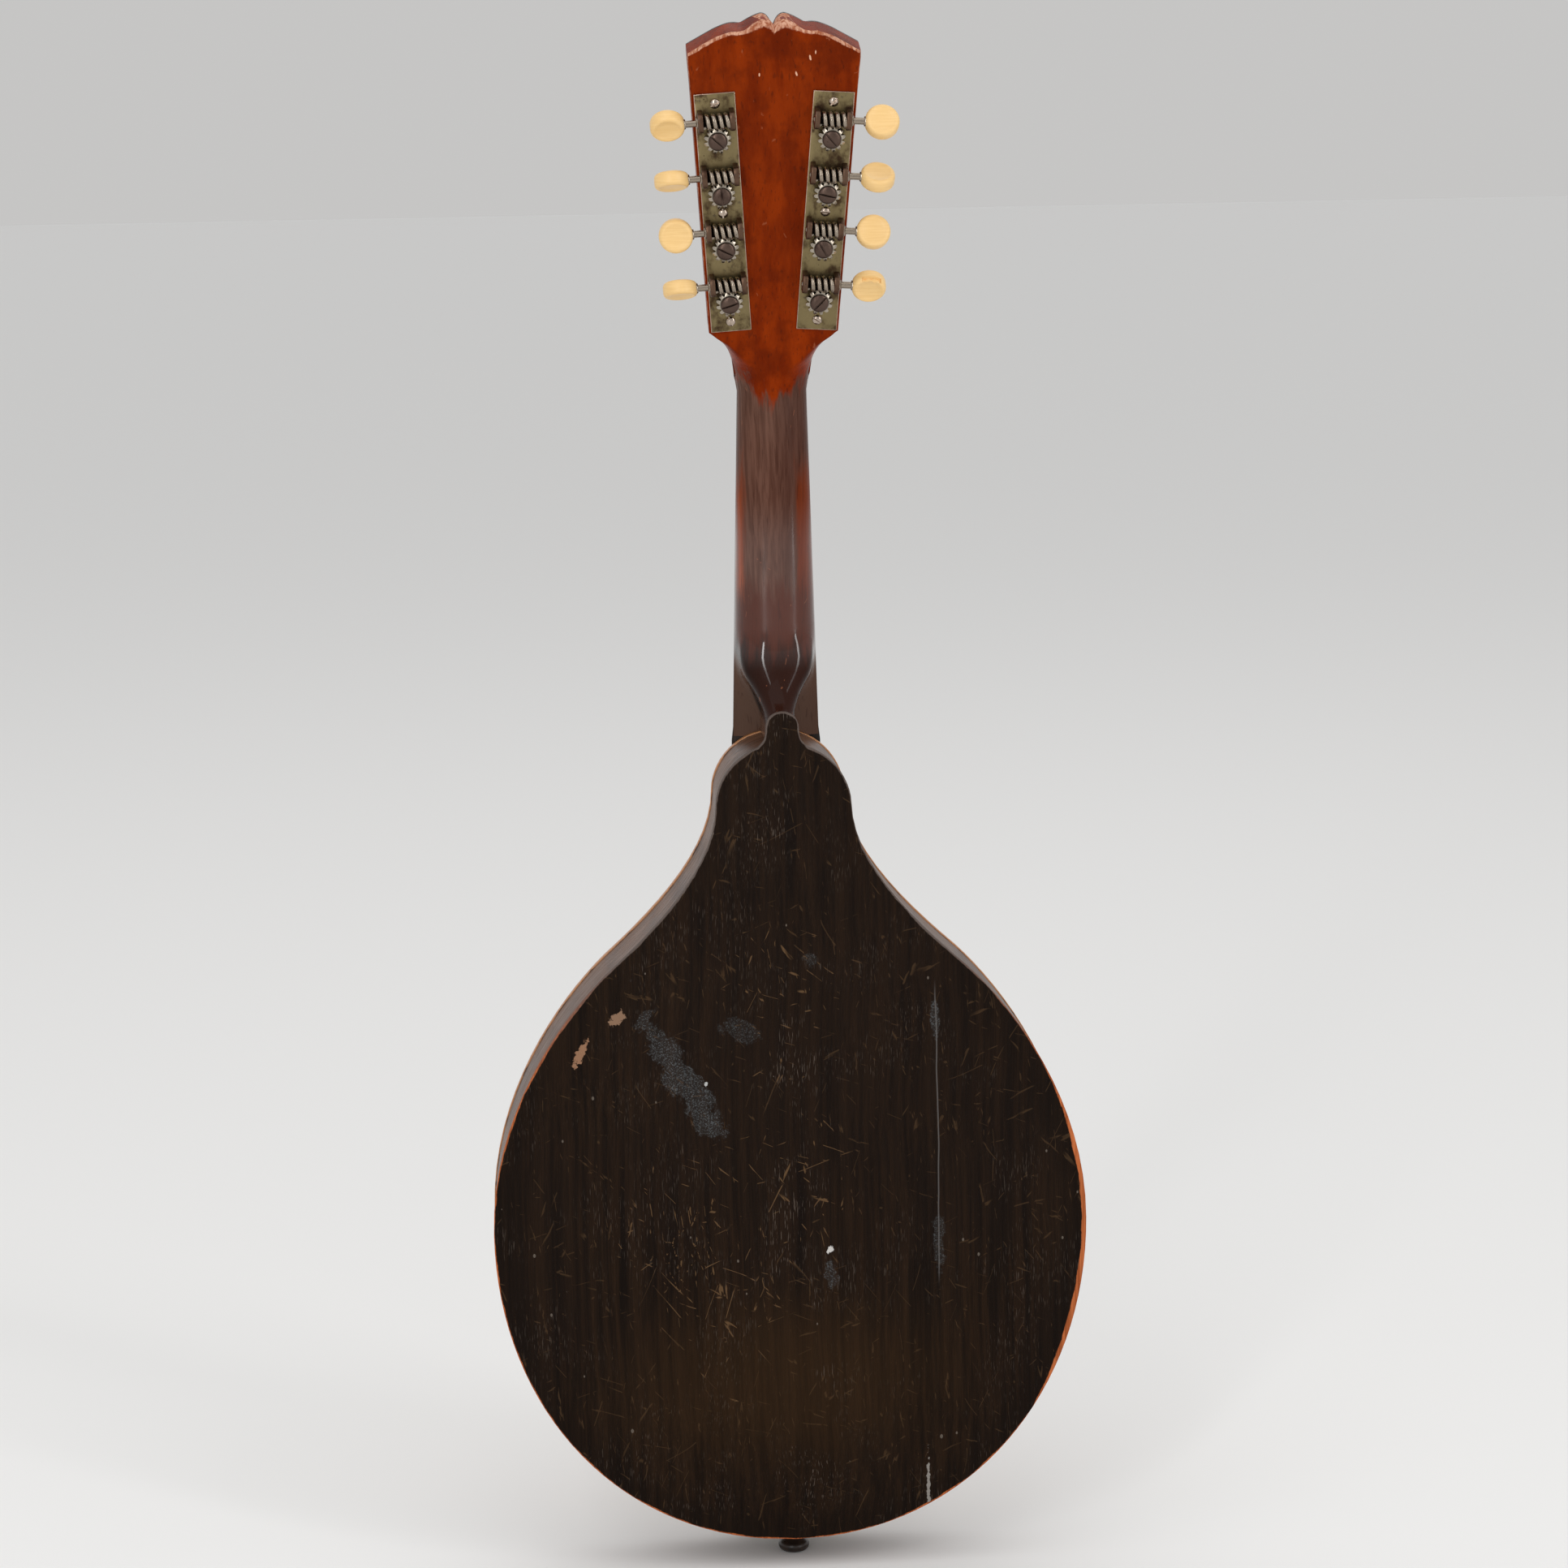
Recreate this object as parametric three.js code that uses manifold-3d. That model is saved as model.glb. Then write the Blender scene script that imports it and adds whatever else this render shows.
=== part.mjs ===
import * as THREE from "three";
import { mergeVertices } from "three/addons/utils/BufferGeometryUtils.js";
import Module from "manifold-3d";

// Teardrop mandolin. Millimetres. +Z runs from the tail to the headstock, the strings face -Y,
// the back faces +Y and the treble side is +X. The origin is the nut, on the fingerboard's glue plane.

const SCALE_LENGTH = 340;          // nut to bridge, along the neck
const NECK_PITCH = 5;              // degrees the neck leans back from the body
const HEAD_TILT = 18;              // degrees the headstock leans back from the body
const BODY_TOP = -148.2;           // neck end of the body
const BODY_BOTTOM = -496.3;        // tail end of the body
const BODY_HALF_WIDTH = 127;
const BODY_CENTRE = -360;          // height of the highest point of both arches
const FRONT_Y = -12.65;            // edge plane of the carved top
const BODY_DEPTH = 48;             // edge plane of the top to edge plane of the back
const BACK_Y = FRONT_Y + BODY_DEPTH;
const PLATE = 4;                   // thickness of the top and of the back
const RIM_THICKNESS = 2.5;
const OVERHANG = 0.5;              // plates stand out past the rim
const LINING_DEPTH = 6;
const LINING_THICKNESS = 4;
const BUTTON_HALF = 6.9;           // heel button on the back
const BUTTON_TOP = -135;
const PIN_Y = FRONT_Y + BODY_DEPTH / 2;

const NUT_HALF = 14.6;             // half the neck's width at the nut
const JOINT_HALF = 18.4;           // half the neck's width at the body
const NECK_DEPTH = 15.2;           // thickness of the neck at the nut, below the fingerboard
const BOARD = 4;                   // fingerboard thickness
const BOARD_END = -216;
const NUT_TOP = 5.2;               // nut height over the glue plane
const NUT_LENGTH = 4.6;

const HEAD_BACK = 16;              // back of the headstock behind the origin
const HEAD_WOOD = 13.5;
const VENEER = 1.5;
const HEAD_THICKNESS = HEAD_WOOD + VENEER;

const TUNER_ANGLE = 3.75;          // degrees each tuner plate leans outward
const TUNER_FOOT = [17.7, 25.7];   // lower end of the plate's middle line, on the headstock
const TUNER_PLATE = [16.8, 102.8, 1];
const GEAR_STATIONS = [13.5, 37, 60.5, 84];
const SCREW_STATIONS = [4.5, 51.7, 98.5];
const CENTRE_DISTANCE = 8;         // gear axis to worm axis
const WORM_HEIGHT = 4.8;           // worm axis over the headstock
const TEETH = 12;
const GEAR_PITCH_R = 5.08;
const WORM_PITCH = (2 * Math.PI * GEAR_PITCH_R) / TEETH;
const GEAR_TIP_R = 5.65;
const GEAR_ROOT_R = 4.25;
const GEAR_FACE = 2.4;
const WORM_TIP_R = 3.5;
const WORM_ROOT_R = 2.1;
const SHAFT_R = 1.45;
const POST_R = 3;
const POST_REACH = 12;             // post in front of the headstock
const BUTTON_R = 7.1;
const BUTTON_X = 20;               // button centre, out from the plate's middle line
const BUTTON_TURNS = { treble: [-57, 10, -57, -29], bass: [23, -35, -69, -42] };

const BRIDGE_DROP = 9.2;           // string height over the glue plane at the bridge
const TAIL_STRING = [-21.4, -469];   // y and z where the strings hook on
const COVER_LEAN = 6.6;            // degrees the tailpiece cover leans with the arch

const rad = THREE.MathUtils.degToRad;
const V = (x, y, z) => new THREE.Vector3(x, y, z);

const wasm = await Module();
wasm.setup();

const colours = {
  back: 0x2a1b14, rim: 0x6b3f22, spruce: 0xb9793a, mahogany: 0x9a3d12, ebony: 0x17120f,
  bone: 0xe8dcc0, inner: 0xb08a5c, plate: 0x8d8a72, steel: 0xb9b6ac, ivoroid: 0xe6cd8a,
  horn: 0x0d0b0a, rosewood: 0x3b2118, wire: 0xc9c6bc, brassy: 0xa89a6a,
};
const root = new THREE.Group();

function part(name, geometry, colour, metal = false) {
  const material = new THREE.MeshStandardMaterial({
    color: colours[colour], roughness: metal ? 0.35 : 0.55, metalness: metal ? 0.9 : 0,
  });
  const mesh = new THREE.Mesh(geometry, material);
  mesh.name = name;
  root.add(mesh);
  return mesh;
}

// ---- solids -----------------------------------------------------------------------------------

function solid(geometry) {
  const clean = geometry.clone();
  clean.deleteAttribute("normal");
  clean.deleteAttribute("uv");
  const merged = mergeVertices(clean, 1e-4);
  return new wasm.Manifold(new wasm.Mesh({
    numProp: 3,
    vertProperties: new Float32Array(merged.attributes.position.array),
    triVerts: new Uint32Array(merged.index.array),
  }));
}

function surface(manifold) {
  const mesh = manifold.getMesh();
  const geometry = new THREE.BufferGeometry();
  geometry.setAttribute("position", new THREE.Float32BufferAttribute(mesh.vertProperties, 3));
  geometry.setIndex(Array.from(mesh.triVerts));
  geometry.computeVertexNormals();
  return geometry;
}

function signedVolume(positions, index) {
  let total = 0;
  for (let i = 0; i < index.length; i += 3) {
    const [a, b, c] = [positions[index[i]], positions[index[i + 1]], positions[index[i + 2]]];
    total += a.dot(b.clone().cross(c));
  }
  return total;
}

// Closed surface through a row of rings with equal point counts. The ends close on their middle
// points, or on the given peaks; a looped row joins its last ring to its first.
function loft(rings, { loop = false, peaks = [] } = {}) {
  const positions = rings.flat().map((p) => p.clone());
  const count = rings[0].length;
  const index = [];
  const last = loop ? rings.length : rings.length - 1;
  for (let i = 0; i < last; i += 1) {
    const k = (i + 1) % rings.length;
    for (let j = 0; j < count; j += 1) {
      const n = (j + 1) % count;
      const [a, b, c, d] = [i * count + j, i * count + n, k * count + n, k * count + j];
      index.push(a, b, c, a, c, d);
    }
  }
  if (!loop) {
    [0, rings.length - 1].forEach((ring, end) => {
      const middle = V(0, 0, 0);
      rings[ring].forEach((p) => middle.addScaledVector(p, 1 / count));
      positions.push(peaks[end] ?? middle);
      const tip = positions.length - 1;
      for (let j = 0; j < count; j += 1) {
        const pair = [ring * count + j, ring * count + ((j + 1) % count)];
        index.push(tip, pair[end === 0 ? 1 : 0], pair[end === 0 ? 0 : 1]);
      }
    });
  }
  if (signedVolume(positions, index) < 0) {
    index.reverse();
  }
  const geometry = new THREE.BufferGeometry();
  geometry.setAttribute("position", new THREE.Float32BufferAttribute(
    positions.flatMap((p) => [p.x, p.y, p.z]), 3));
  geometry.setIndex(index);
  geometry.computeVertexNormals();
  return geometry;
}

// Flat shape drawn in x and z, from the plane y = back forward (towards -Y) by its thickness.
function slab(shape, thickness, back, segments = 6) {
  const geometry = new THREE.ExtrudeGeometry(shape, {
    depth: thickness, bevelEnabled: false, curveSegments: segments,
  });
  return geometry.rotateX(Math.PI / 2).translate(0, back, 0);
}

function cylinder(radius, from, to, sides, axis = "y") {
  const geometry = new THREE.CylinderGeometry(radius, radius, to - from, sides);
  geometry.translate(0, (from + to) / 2, 0);
  if (axis === "x") {
    geometry.rotateZ(-Math.PI / 2);
  }
  if (axis === "z") {
    geometry.rotateX(Math.PI / 2);
  }
  return geometry;
}

function block(x, y, z) {
  const geometry = new THREE.BoxGeometry(x[1] - x[0], y[1] - y[0], z[1] - z[0]);
  return geometry.translate((x[0] + x[1]) / 2, (y[0] + y[1]) / 2, (z[0] + z[1]) / 2);
}

// Neck and headstock frames: z along the piece, y out of its back.
const neckFrame = new THREE.Matrix4().makeRotationX(-rad(NECK_PITCH));
const headFrame = new THREE.Matrix4().makeTranslation(0, HEAD_BACK, 0)
  .multiply(new THREE.Matrix4().makeRotationX(-rad(HEAD_TILT)));
const onNeck = (x, y, z) => V(x, y, z).applyMatrix4(neckFrame);
const onHead = (x, y, z) => V(x, y, z).applyMatrix4(headFrame);

// ---- body outline -----------------------------------------------------------------------------

function halfOutline() {
  const curve = (a, b, c, d) => new THREE.CubicBezierCurve(
    new THREE.Vector2(...a), new THREE.Vector2(...b), new THREE.Vector2(...c), new THREE.Vector2(...d));
  const sections = [
    [curve([0, BODY_TOP], [17.5, BODY_TOP], [28.4, -162], [28.6, -174]), 6],
    [curve([28.6, -174], [28.9, -198], [50, -222], [76.6, -245.5]), 5],
    [curve([76.6, -245.5], [97, -265], [BODY_HALF_WIDTH, -306], [BODY_HALF_WIDTH, -357]), 6],
    [curve([BODY_HALF_WIDTH, -357], [BODY_HALF_WIDTH, -434], [76, BODY_BOTTOM], [0, BODY_BOTTOM]), 12],
  ];
  return sections.flatMap(([section, steps], i) => section.getPoints(steps).slice(i === 0 ? 0 : 1));
}

const half = halfOutline();
const outline = [...half, ...half.slice(1, -1).reverse().map((p) => new THREE.Vector2(-p.x, p.y))];

// The outline moved inward by a distance.
function inset(distance) {
  return outline.map((p, i) => {
    const before = outline[(i + outline.length - 1) % outline.length];
    const after = outline[(i + 1) % outline.length];
    const along = after.clone().sub(before).normalize();
    return new THREE.Vector2(p.x + along.y * distance, p.y - along.x * distance);
  });
}

const ringAt = (points, y) => points.map((p) => V(p.x, y, p.y));
const scaledRing = (s, y) => outline.map((p) => V(p.x * s, y, BODY_CENTRE + (p.y - BODY_CENTRE) * s));
const prism = (points, from, to) => loft([ringAt(points, from), ringAt(points, to)]);

// Arches: [fraction of the outline, rise over the edge plane].
const TOP_ARCH = [[1, 0], [0.94, 0], [0.82, 1.8], [0.62, 6.3], [0.36, 10.8], [0, 12.5]];
const TOP_HOLLOW = [[1, 0], [0.82, 1.6], [0.55, 7], [0, 12]];
const BACK_ARCH = [[1, 0], [0.93, 0.1], [0.8, 1.6], [0.58, 4.5], [0.3, 6.6], [0, 7]];
const BACK_HOLLOW = [[1, 0], [0.8, 1.3], [0.5, 4.6], [0, 6.6]];

function archedPlate(edge, inner, outward, arch, hollow) {
  const rings = [
    ...hollow.slice(0, -1).reverse().map(([s, rise]) => scaledRing(s, inner + outward * rise)),
    ...arch.slice(0, -1).map(([s, rise]) => scaledRing(s, edge + outward * rise)),
  ];
  const peak = (level, table) => V(0, level + outward * table.at(-1)[1], BODY_CENTRE);
  return loft(rings, { peaks: [peak(inner, hollow), peak(edge, arch)] });
}

// Rise of an arch over its edge plane at a point, read along the ray from the body's centre.
function riseAt(table, x, z) {
  const ray = new THREE.Vector2(x, z - BODY_CENTRE);
  let fraction = 0;
  outline.forEach((p, i) => {
    const q = outline[(i + 1) % outline.length];
    const a = new THREE.Vector2(p.x, p.y - BODY_CENTRE);
    const side = new THREE.Vector2(q.x, q.y - BODY_CENTRE).sub(a);
    const det = ray.cross(side);
    const along = ray.clone().cross(a) / -det;
    const reach = a.cross(side) / det;
    if (reach > 0 && along >= 0 && along <= 1) {
      fraction = 1 / reach;
    }
  });
  const outer = table.findLastIndex(([s]) => s >= fraction);
  const [[s0, h0], [s1, h1]] = [table[outer], table[outer + 1]];
  return h0 + ((s0 - fraction) / (s0 - s1)) * (h1 - h0);
}

// ---- body -------------------------------------------------------------------------------------

const button = new THREE.Shape();
button.moveTo(-BUTTON_HALF - 1.6, BODY_TOP - 2);
button.quadraticCurveTo(-BUTTON_HALF, BODY_TOP + 1.5, -BUTTON_HALF, BUTTON_TOP - 7);
button.bezierCurveTo(-BUTTON_HALF, BUTTON_TOP - 2, -3.4, BUTTON_TOP, 0, BUTTON_TOP);
button.bezierCurveTo(3.4, BUTTON_TOP, BUTTON_HALF, BUTTON_TOP - 2, BUTTON_HALF, BUTTON_TOP - 7);
button.quadraticCurveTo(BUTTON_HALF, BODY_TOP + 1.5, BUTTON_HALF + 1.6, BODY_TOP - 2);

const backPlate = solid(archedPlate(BACK_Y, BACK_Y - PLATE, 1, BACK_ARCH, BACK_HOLLOW))
  .add(solid(slab(button, PLATE, BACK_Y, 4)));
part("back_plate", surface(backPlate), "back");

const soundHole = new THREE.CylinderGeometry(1, 1, 60, 28).scale(29, 1, 21).translate(0, -20, -250);
const topPlate = solid(archedPlate(FRONT_Y, FRONT_Y + PLATE, -1, TOP_ARCH, TOP_HOLLOW))
  .subtract(solid(soundHole));
part("top_plate", surface(topPlate), "spruce");

const RIM_FRONT = FRONT_Y + PLATE + 0.02;
const RIM_BACK = BACK_Y - PLATE - 0.02;
const rimOuter = inset(OVERHANG);
const rimInner = inset(OVERHANG + RIM_THICKNESS);
const rimSolid = solid(loft([
  ringAt(rimOuter, RIM_FRONT), ringAt(rimOuter, RIM_BACK),
  ringAt(rimInner, RIM_BACK), ringAt(rimInner, RIM_FRONT),
], { loop: true }));
const pinBore = cylinder(3.6, BODY_BOTTOM - 2, BODY_BOTTOM + 20, 12, "z").translate(0, PIN_Y, 0);
part("rim", surface(rimSolid.subtract(solid(pinBore))), "rim");

const cavity = solid(prism(inset(OVERHANG + RIM_THICKNESS + 0.1), RIM_FRONT, RIM_BACK));
const neckBlock = solid(block([-40, 40], [RIM_FRONT + 0.1, RIM_BACK - 0.1], [-176, -140]));
part("neck_block", surface(neckBlock.intersect(cavity)), "inner");
const tailBlock = solid(block([-30, 30], [RIM_FRONT + 0.1, RIM_BACK - 0.1], [-500, -479]));
part("tail_block", surface(tailBlock.intersect(cavity).subtract(solid(pinBore))), "inner");

// Linings run from block to block on each side, against one plate and the rim.
function lining(side, plateY, inward) {
  const outer = inset(OVERHANG + RIM_THICKNESS + 0.1);
  const inner = inset(OVERHANG + RIM_THICKNESS + LINING_THICKNESS);
  const tall = plateY + inward * LINING_DEPTH;
  const rings = [];
  outer.forEach((p, i) => {
    if (side * p.x > 0 && p.y < -178 && !(p.y < -470 && side * p.x < 34)) {
      const q = inner[i];
      rings.push([V(p.x, plateY, p.y), V(p.x, tall, p.y), V(q.x, plateY + inward, q.y)]);
    }
  });
  return loft(rings);
}

[["treble", 1], ["bass", -1]].forEach(([name, side]) => {
  part(`back_lining_${name}`, lining(side, RIM_BACK - 0.1, -1), "inner");
  part(`top_lining_${name}`, lining(side, RIM_FRONT + 0.1, 1), "inner");
});

const braceRings = [-86, -60, -30, 0, 30, 60, 86].map((x) => {
  const top = FRONT_Y + PLATE - riseAt(TOP_HOLLOW, x, -288) + 0.6;
  const deep = top + 3 + 6 * (1 - Math.abs(x) / 90);
  return [V(x, top, -291), V(x, deep, -290), V(x, deep, -286), V(x, top, -285)];
});
part("top_brace", loft(braceRings), "inner");

const pinProfile = [[0, 18], [3, 18], [3.5, 0.4], [4.6, 0.4], [4.8, -3], [3.9, -6], [5.2, -8.6],
  [6.7, -10], [6.2, -12], [4.2, -12.6], [0, -12.6]];
const endPin = new THREE.LatheGeometry(pinProfile.reverse().map((p) => new THREE.Vector2(...p)), 16);
endPin.rotateX(Math.PI / 2).translate(0, PIN_Y, BODY_BOTTOM);
part("end_pin", endPin, "horn");

// ---- neck and headstock -----------------------------------------------------------------------

const neckHalf = (z) => NUT_HALF + ((JOINT_HALF - NUT_HALF) * Math.min(z, 0)) / BODY_TOP;

// Cross-section of the neck: flat on the glue plane, rounded or squared at the back, and drawn in
// to the heel's keel by the share "keel".
function neckSection(z, depth, power, keel) {
  const steps = [0, 0.2, 0.42, 0.62, 0.8, 0.93, 1];
  const width = (t) => {
    const round = (1 - t ** power) ** (1 / power);
    const keeled = BUTTON_HALF * (1 - t ** 9) ** 0.5 + (neckHalf(z) - BUTTON_HALF) * (1 - t) ** 1.9;
    return neckHalf(z) * round * (1 - keel) + keeled * keel;
  };
  const side = steps.map((t) => [width(t), t * depth]);
  const mirrored = side.slice(0, -1).reverse().map(([x, y]) => [-x, y]);
  return [...side, ...mirrored].map(([x, y]) => onNeck(x, y, z));
}

const neckStations = [
  [4.9, 17.0, 9, 0], [-3, 15.4, 7, 0], [-9, NECK_DEPTH, 3.6, 0], [-18, NECK_DEPTH, 2.4, 0],
  [-60, 16.2, 2.2, 0], [-100, 17.4, 2.2, 0], [-112, 18.6, 2.2, 0.15], [-121, 22, 2.2, 0.4],
  [-128, 28, 2.3, 0.7], [-133, 36, 2.4, 0.9], [-136, 46, 2.5, 1], [-160, 47, 2.5, 1],
].map(([z, depth, power, keel]) => neckSection(z, depth, power, keel));

function headShape() {
  const shape = new THREE.Shape();
  shape.moveTo(0, 151.4);
  shape.quadraticCurveTo(1.6, 157, 4.8, 157);
  shape.quadraticCurveTo(8.2, 156.2, 13.3, 152.8);
  shape.quadraticCurveTo(15.6, 153.6, 18.5, 152.9);
  shape.quadraticCurveTo(22, 151.8, 25, 150.2);
  shape.lineTo(35.2, 144.4);
  shape.lineTo(27, 24.4);
  shape.bezierCurveTo(22.6, 21.6, 18.6, 16, 15.4, 2);
  shape.lineTo(14.6, -3);
  shape.lineTo(-14.6, -3);
  shape.lineTo(-15.4, 2);
  shape.bezierCurveTo(-18.6, 16, -22.6, 21.6, -27, 24.4);
  shape.lineTo(-35.2, 144.4);
  shape.lineTo(-25, 150.2);
  shape.quadraticCurveTo(-22, 151.8, -18.5, 152.9);
  shape.quadraticCurveTo(-15.6, 153.6, -13.3, 152.8);
  shape.quadraticCurveTo(-8.2, 156.2, -4.8, 157);
  shape.quadraticCurveTo(-1.6, 157, 0, 151.4);
  return shape;
}

// Tuner plate frame: z along the plate's middle line, y out of the headstock, x across it.
const tunerFrame = (side) => headFrame.clone()
  .multiply(new THREE.Matrix4().makeTranslation(side * TUNER_FOOT[0], 0, TUNER_FOOT[1]))
  .multiply(new THREE.Matrix4().makeRotationY(side * rad(TUNER_ANGLE)));
const sides = [["treble", 1], ["bass", -1]];

const postHoles = sides.flatMap(([, side]) => GEAR_STATIONS.map((z) => (
  solid(cylinder(3.4, -20, 2, 12).translate(0, 0, z).applyMatrix4(tunerFrame(side))))));
const pilotHoles = sides.flatMap(([, side]) => SCREW_STATIONS.map((z) => (
  solid(cylinder(1.2, -8, 2, 8).translate(0, 0, z).applyMatrix4(tunerFrame(side))))));

let neck = solid(loft(neckStations))
  .add(solid(slab(headShape(), HEAD_WOOD, 0, 3).applyMatrix4(headFrame)))
  .subtract(solid(prism(inset(-0.1), -80, BACK_Y + 20)))
  .subtract(solid(block([-40, 40], [BACK_Y - PLATE - 0.05, 80], [-170, -110])));
[...postHoles, ...pilotHoles].forEach((hole) => {
  neck = neck.subtract(hole);
});
part("neck", surface(neck), "mahogany");

const veneerFoot = solid(block([-30, 30], [-20, 2], [-10, 1.3]));
let veneer = solid(slab(headShape(), VENEER, -HEAD_WOOD, 3)).subtract(veneerFoot);
veneer = veneer.transform(headFrame.elements);
postHoles.forEach((hole) => {
  veneer = veneer.subtract(hole);
});
part("headstock_veneer", surface(veneer), "ebony");

const boardLength = -BOARD_END / Math.cos(rad(NECK_PITCH));
const boardHalf = (z) => neckHalf(Math.max(z, BODY_TOP));
const boardRings = [0, BODY_TOP, -boardLength].map((z) => (
  [[1, -0.03], [1, -BOARD + 0.5], [0.5, -BOARD], [-0.5, -BOARD], [-1, -BOARD + 0.5], [-1, -0.03]]
    .map(([x, y]) => onNeck(x * (boardHalf(z) + (z < BODY_TOP ? 1 : 0)), y, z))));
part("fingerboard", loft(boardRings), "ebony");

// Shape drawn in y and z, spread evenly to both sides of the middle plane.
const acrossX = (shape, halfWidth, segments = 4) => new THREE.ExtrudeGeometry(shape, {
  depth: 2 * halfWidth, bevelEnabled: false, curveSegments: segments,
}).translate(0, 0, -halfWidth).rotateX(Math.PI / 2).rotateZ(Math.PI / 2);

const nutShape = new THREE.Shape();
nutShape.moveTo(-0.05, 0.05);
nutShape.lineTo(-NUT_TOP, 0.05);
nutShape.quadraticCurveTo(-NUT_TOP + 0.1, NUT_LENGTH, -NUT_TOP + 2.6, NUT_LENGTH);
nutShape.lineTo(-0.05, NUT_LENGTH);
part("nut", acrossX(nutShape, NUT_HALF).applyMatrix4(neckFrame), "bone");

// ---- bridge and tailpiece ---------------------------------------------------------------------

const bridgePoint = onNeck(0, -BRIDGE_DROP, -SCALE_LENGTH);
const bridgeZ = bridgePoint.z;
const bridgeRings = [-56, -50, -38, -20, 0, 20, 38, 50, 56].map((x) => {
  const foot = (z) => FRONT_Y - riseAt(TOP_ARCH, x, z) - 0.35;
  const tall = Math.abs(x) > 52 ? 2 : 5.5;
  const crest = Math.min(foot(bridgeZ - 6), foot(bridgeZ + 6)) - tall;
  return [V(x, foot(bridgeZ - 6), bridgeZ - 6), V(x, crest, bridgeZ - 3.5),
    V(x, crest, bridgeZ + 3.5), V(x, foot(bridgeZ + 6), bridgeZ + 6)];
});
part("bridge_base", loft(bridgeRings), "ebony");
const saddleRings = [-42, -36, -12, 12, 36, 42].map((x) => {
  const foot = Math.min(...[-20, 0, 20].map((u) => FRONT_Y - riseAt(TOP_ARCH, u, bridgeZ))) - 7.2;
  const crown = bridgePoint.y - (Math.abs(x) > 40 ? -2.4 : 0);
  return [V(x, foot, bridgeZ - 3), V(x, crown, bridgeZ - 0.9),
    V(x, crown, bridgeZ + 0.9), V(x, foot, bridgeZ + 3)];
});
part("bridge_saddle", loft(saddleRings), "ebony");

const tailFront = FRONT_Y - 0.3;
const tailSheet = new THREE.Shape();
tailSheet.moveTo(4, BODY_BOTTOM - 0.6);
tailSheet.lineTo(tailFront, BODY_BOTTOM - 0.6);
tailSheet.lineTo(tailFront, -488);
tailSheet.lineTo(tailFront - 5, -460);
tailSheet.lineTo(tailFront - 8.7, -460.2);
tailSheet.lineTo(tailFront - 8.7, -461.4);
tailSheet.lineTo(tailFront - 6.2, -461.4);
tailSheet.lineTo(tailFront - 1.2, -488.2);
tailSheet.lineTo(tailFront - 1.2, BODY_BOTTOM - 1.8);
tailSheet.lineTo(4, BODY_BOTTOM - 1.8);
part("tailpiece_base", acrossX(tailSheet, 17.4), "brassy", true);

const coverFrame = new THREE.Matrix4().makeTranslation(0, FRONT_Y - 0.45, BODY_BOTTOM - 0.7)
  .multiply(new THREE.Matrix4().makeRotationX(rad(COVER_LEAN)));
const coverSection = [[18.6, 0], [18.6, -6], [16.4, -8.4], [-16.4, -8.4], [-18.6, -6], [-18.6, 0],
  [-17.8, 0], [-17.8, -5.7], [-16, -7.6], [16, -7.6], [17.8, -5.7], [17.8, 0]];
const coverShape = new THREE.Shape(coverSection.map(([x, y]) => new THREE.Vector2(x, y)));
const cover = new THREE.ExtrudeGeometry(coverShape, { depth: 41, bevelEnabled: false });
part("tailpiece_cover", cover.applyMatrix4(coverFrame), "brassy", true);

// ---- tuners -----------------------------------------------------------------------------------

function tunerPlate(side) {
  const [width, length, thick] = TUNER_PLATE;
  let plate = solid(block([-width / 2, width / 2], [0.02, thick], [0, length]));
  GEAR_STATIONS.forEach((z) => {
    const worm = z + CENTRE_DISTANCE;
    const tab = new THREE.Shape();
    tab.moveTo(0.5, worm - 3.2);
    tab.lineTo(6.2, worm - 3.2);
    tab.lineTo(7.9, worm - 1.4);
    tab.lineTo(7.9, worm + 1.4);
    tab.lineTo(6.2, worm + 3.2);
    tab.lineTo(0.5, worm + 3.2);
    [-6.4, 6.4].forEach((x) => {
      plate = plate.add(solid(acrossX(tab, 0.6).translate(x, 0, 0)));
    });
    const bearing = cylinder(1.62, -9, 9, 8, "x").translate(0, WORM_HEIGHT, worm);
    plate = plate.subtract(solid(bearing)).subtract(solid(cylinder(3.13, -1, 3, 12).translate(0, 0, z)));
  });
  SCREW_STATIONS.forEach((z) => {
    plate = plate.subtract(solid(cylinder(1.3, -1, 3, 8).translate(0, 0, z)));
  });
  return surface(plate).applyMatrix4(tunerFrame(side));
}

// Worm and its shaft about the x axis, with a thread crest facing -z at the middle.
function wormShaft() {
  const perTurn = 8;
  const steps = 3.5 * perTurn;
  const rings = [];
  for (let i = 0; i <= steps; i += 1) {
    const turn = (i - steps / 2) / perTurn;
    const angle = -Math.PI / 2 + 2 * Math.PI * turn;
    rings.push([[-0.76, 1.9], [-0.28, WORM_TIP_R], [0.28, WORM_TIP_R], [0.76, 1.9]].map(([dx, r]) => (
      V(WORM_PITCH * turn + dx, r * Math.cos(angle), r * Math.sin(angle)))));
  }
  return solid(loft(rings))
    .add(solid(cylinder(WORM_ROOT_R, -5.4, 5.4, 8, "x")))
    .add(solid(cylinder(SHAFT_R, -7.9, BUTTON_X - 2.1, 8, "x")));
}

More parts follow.
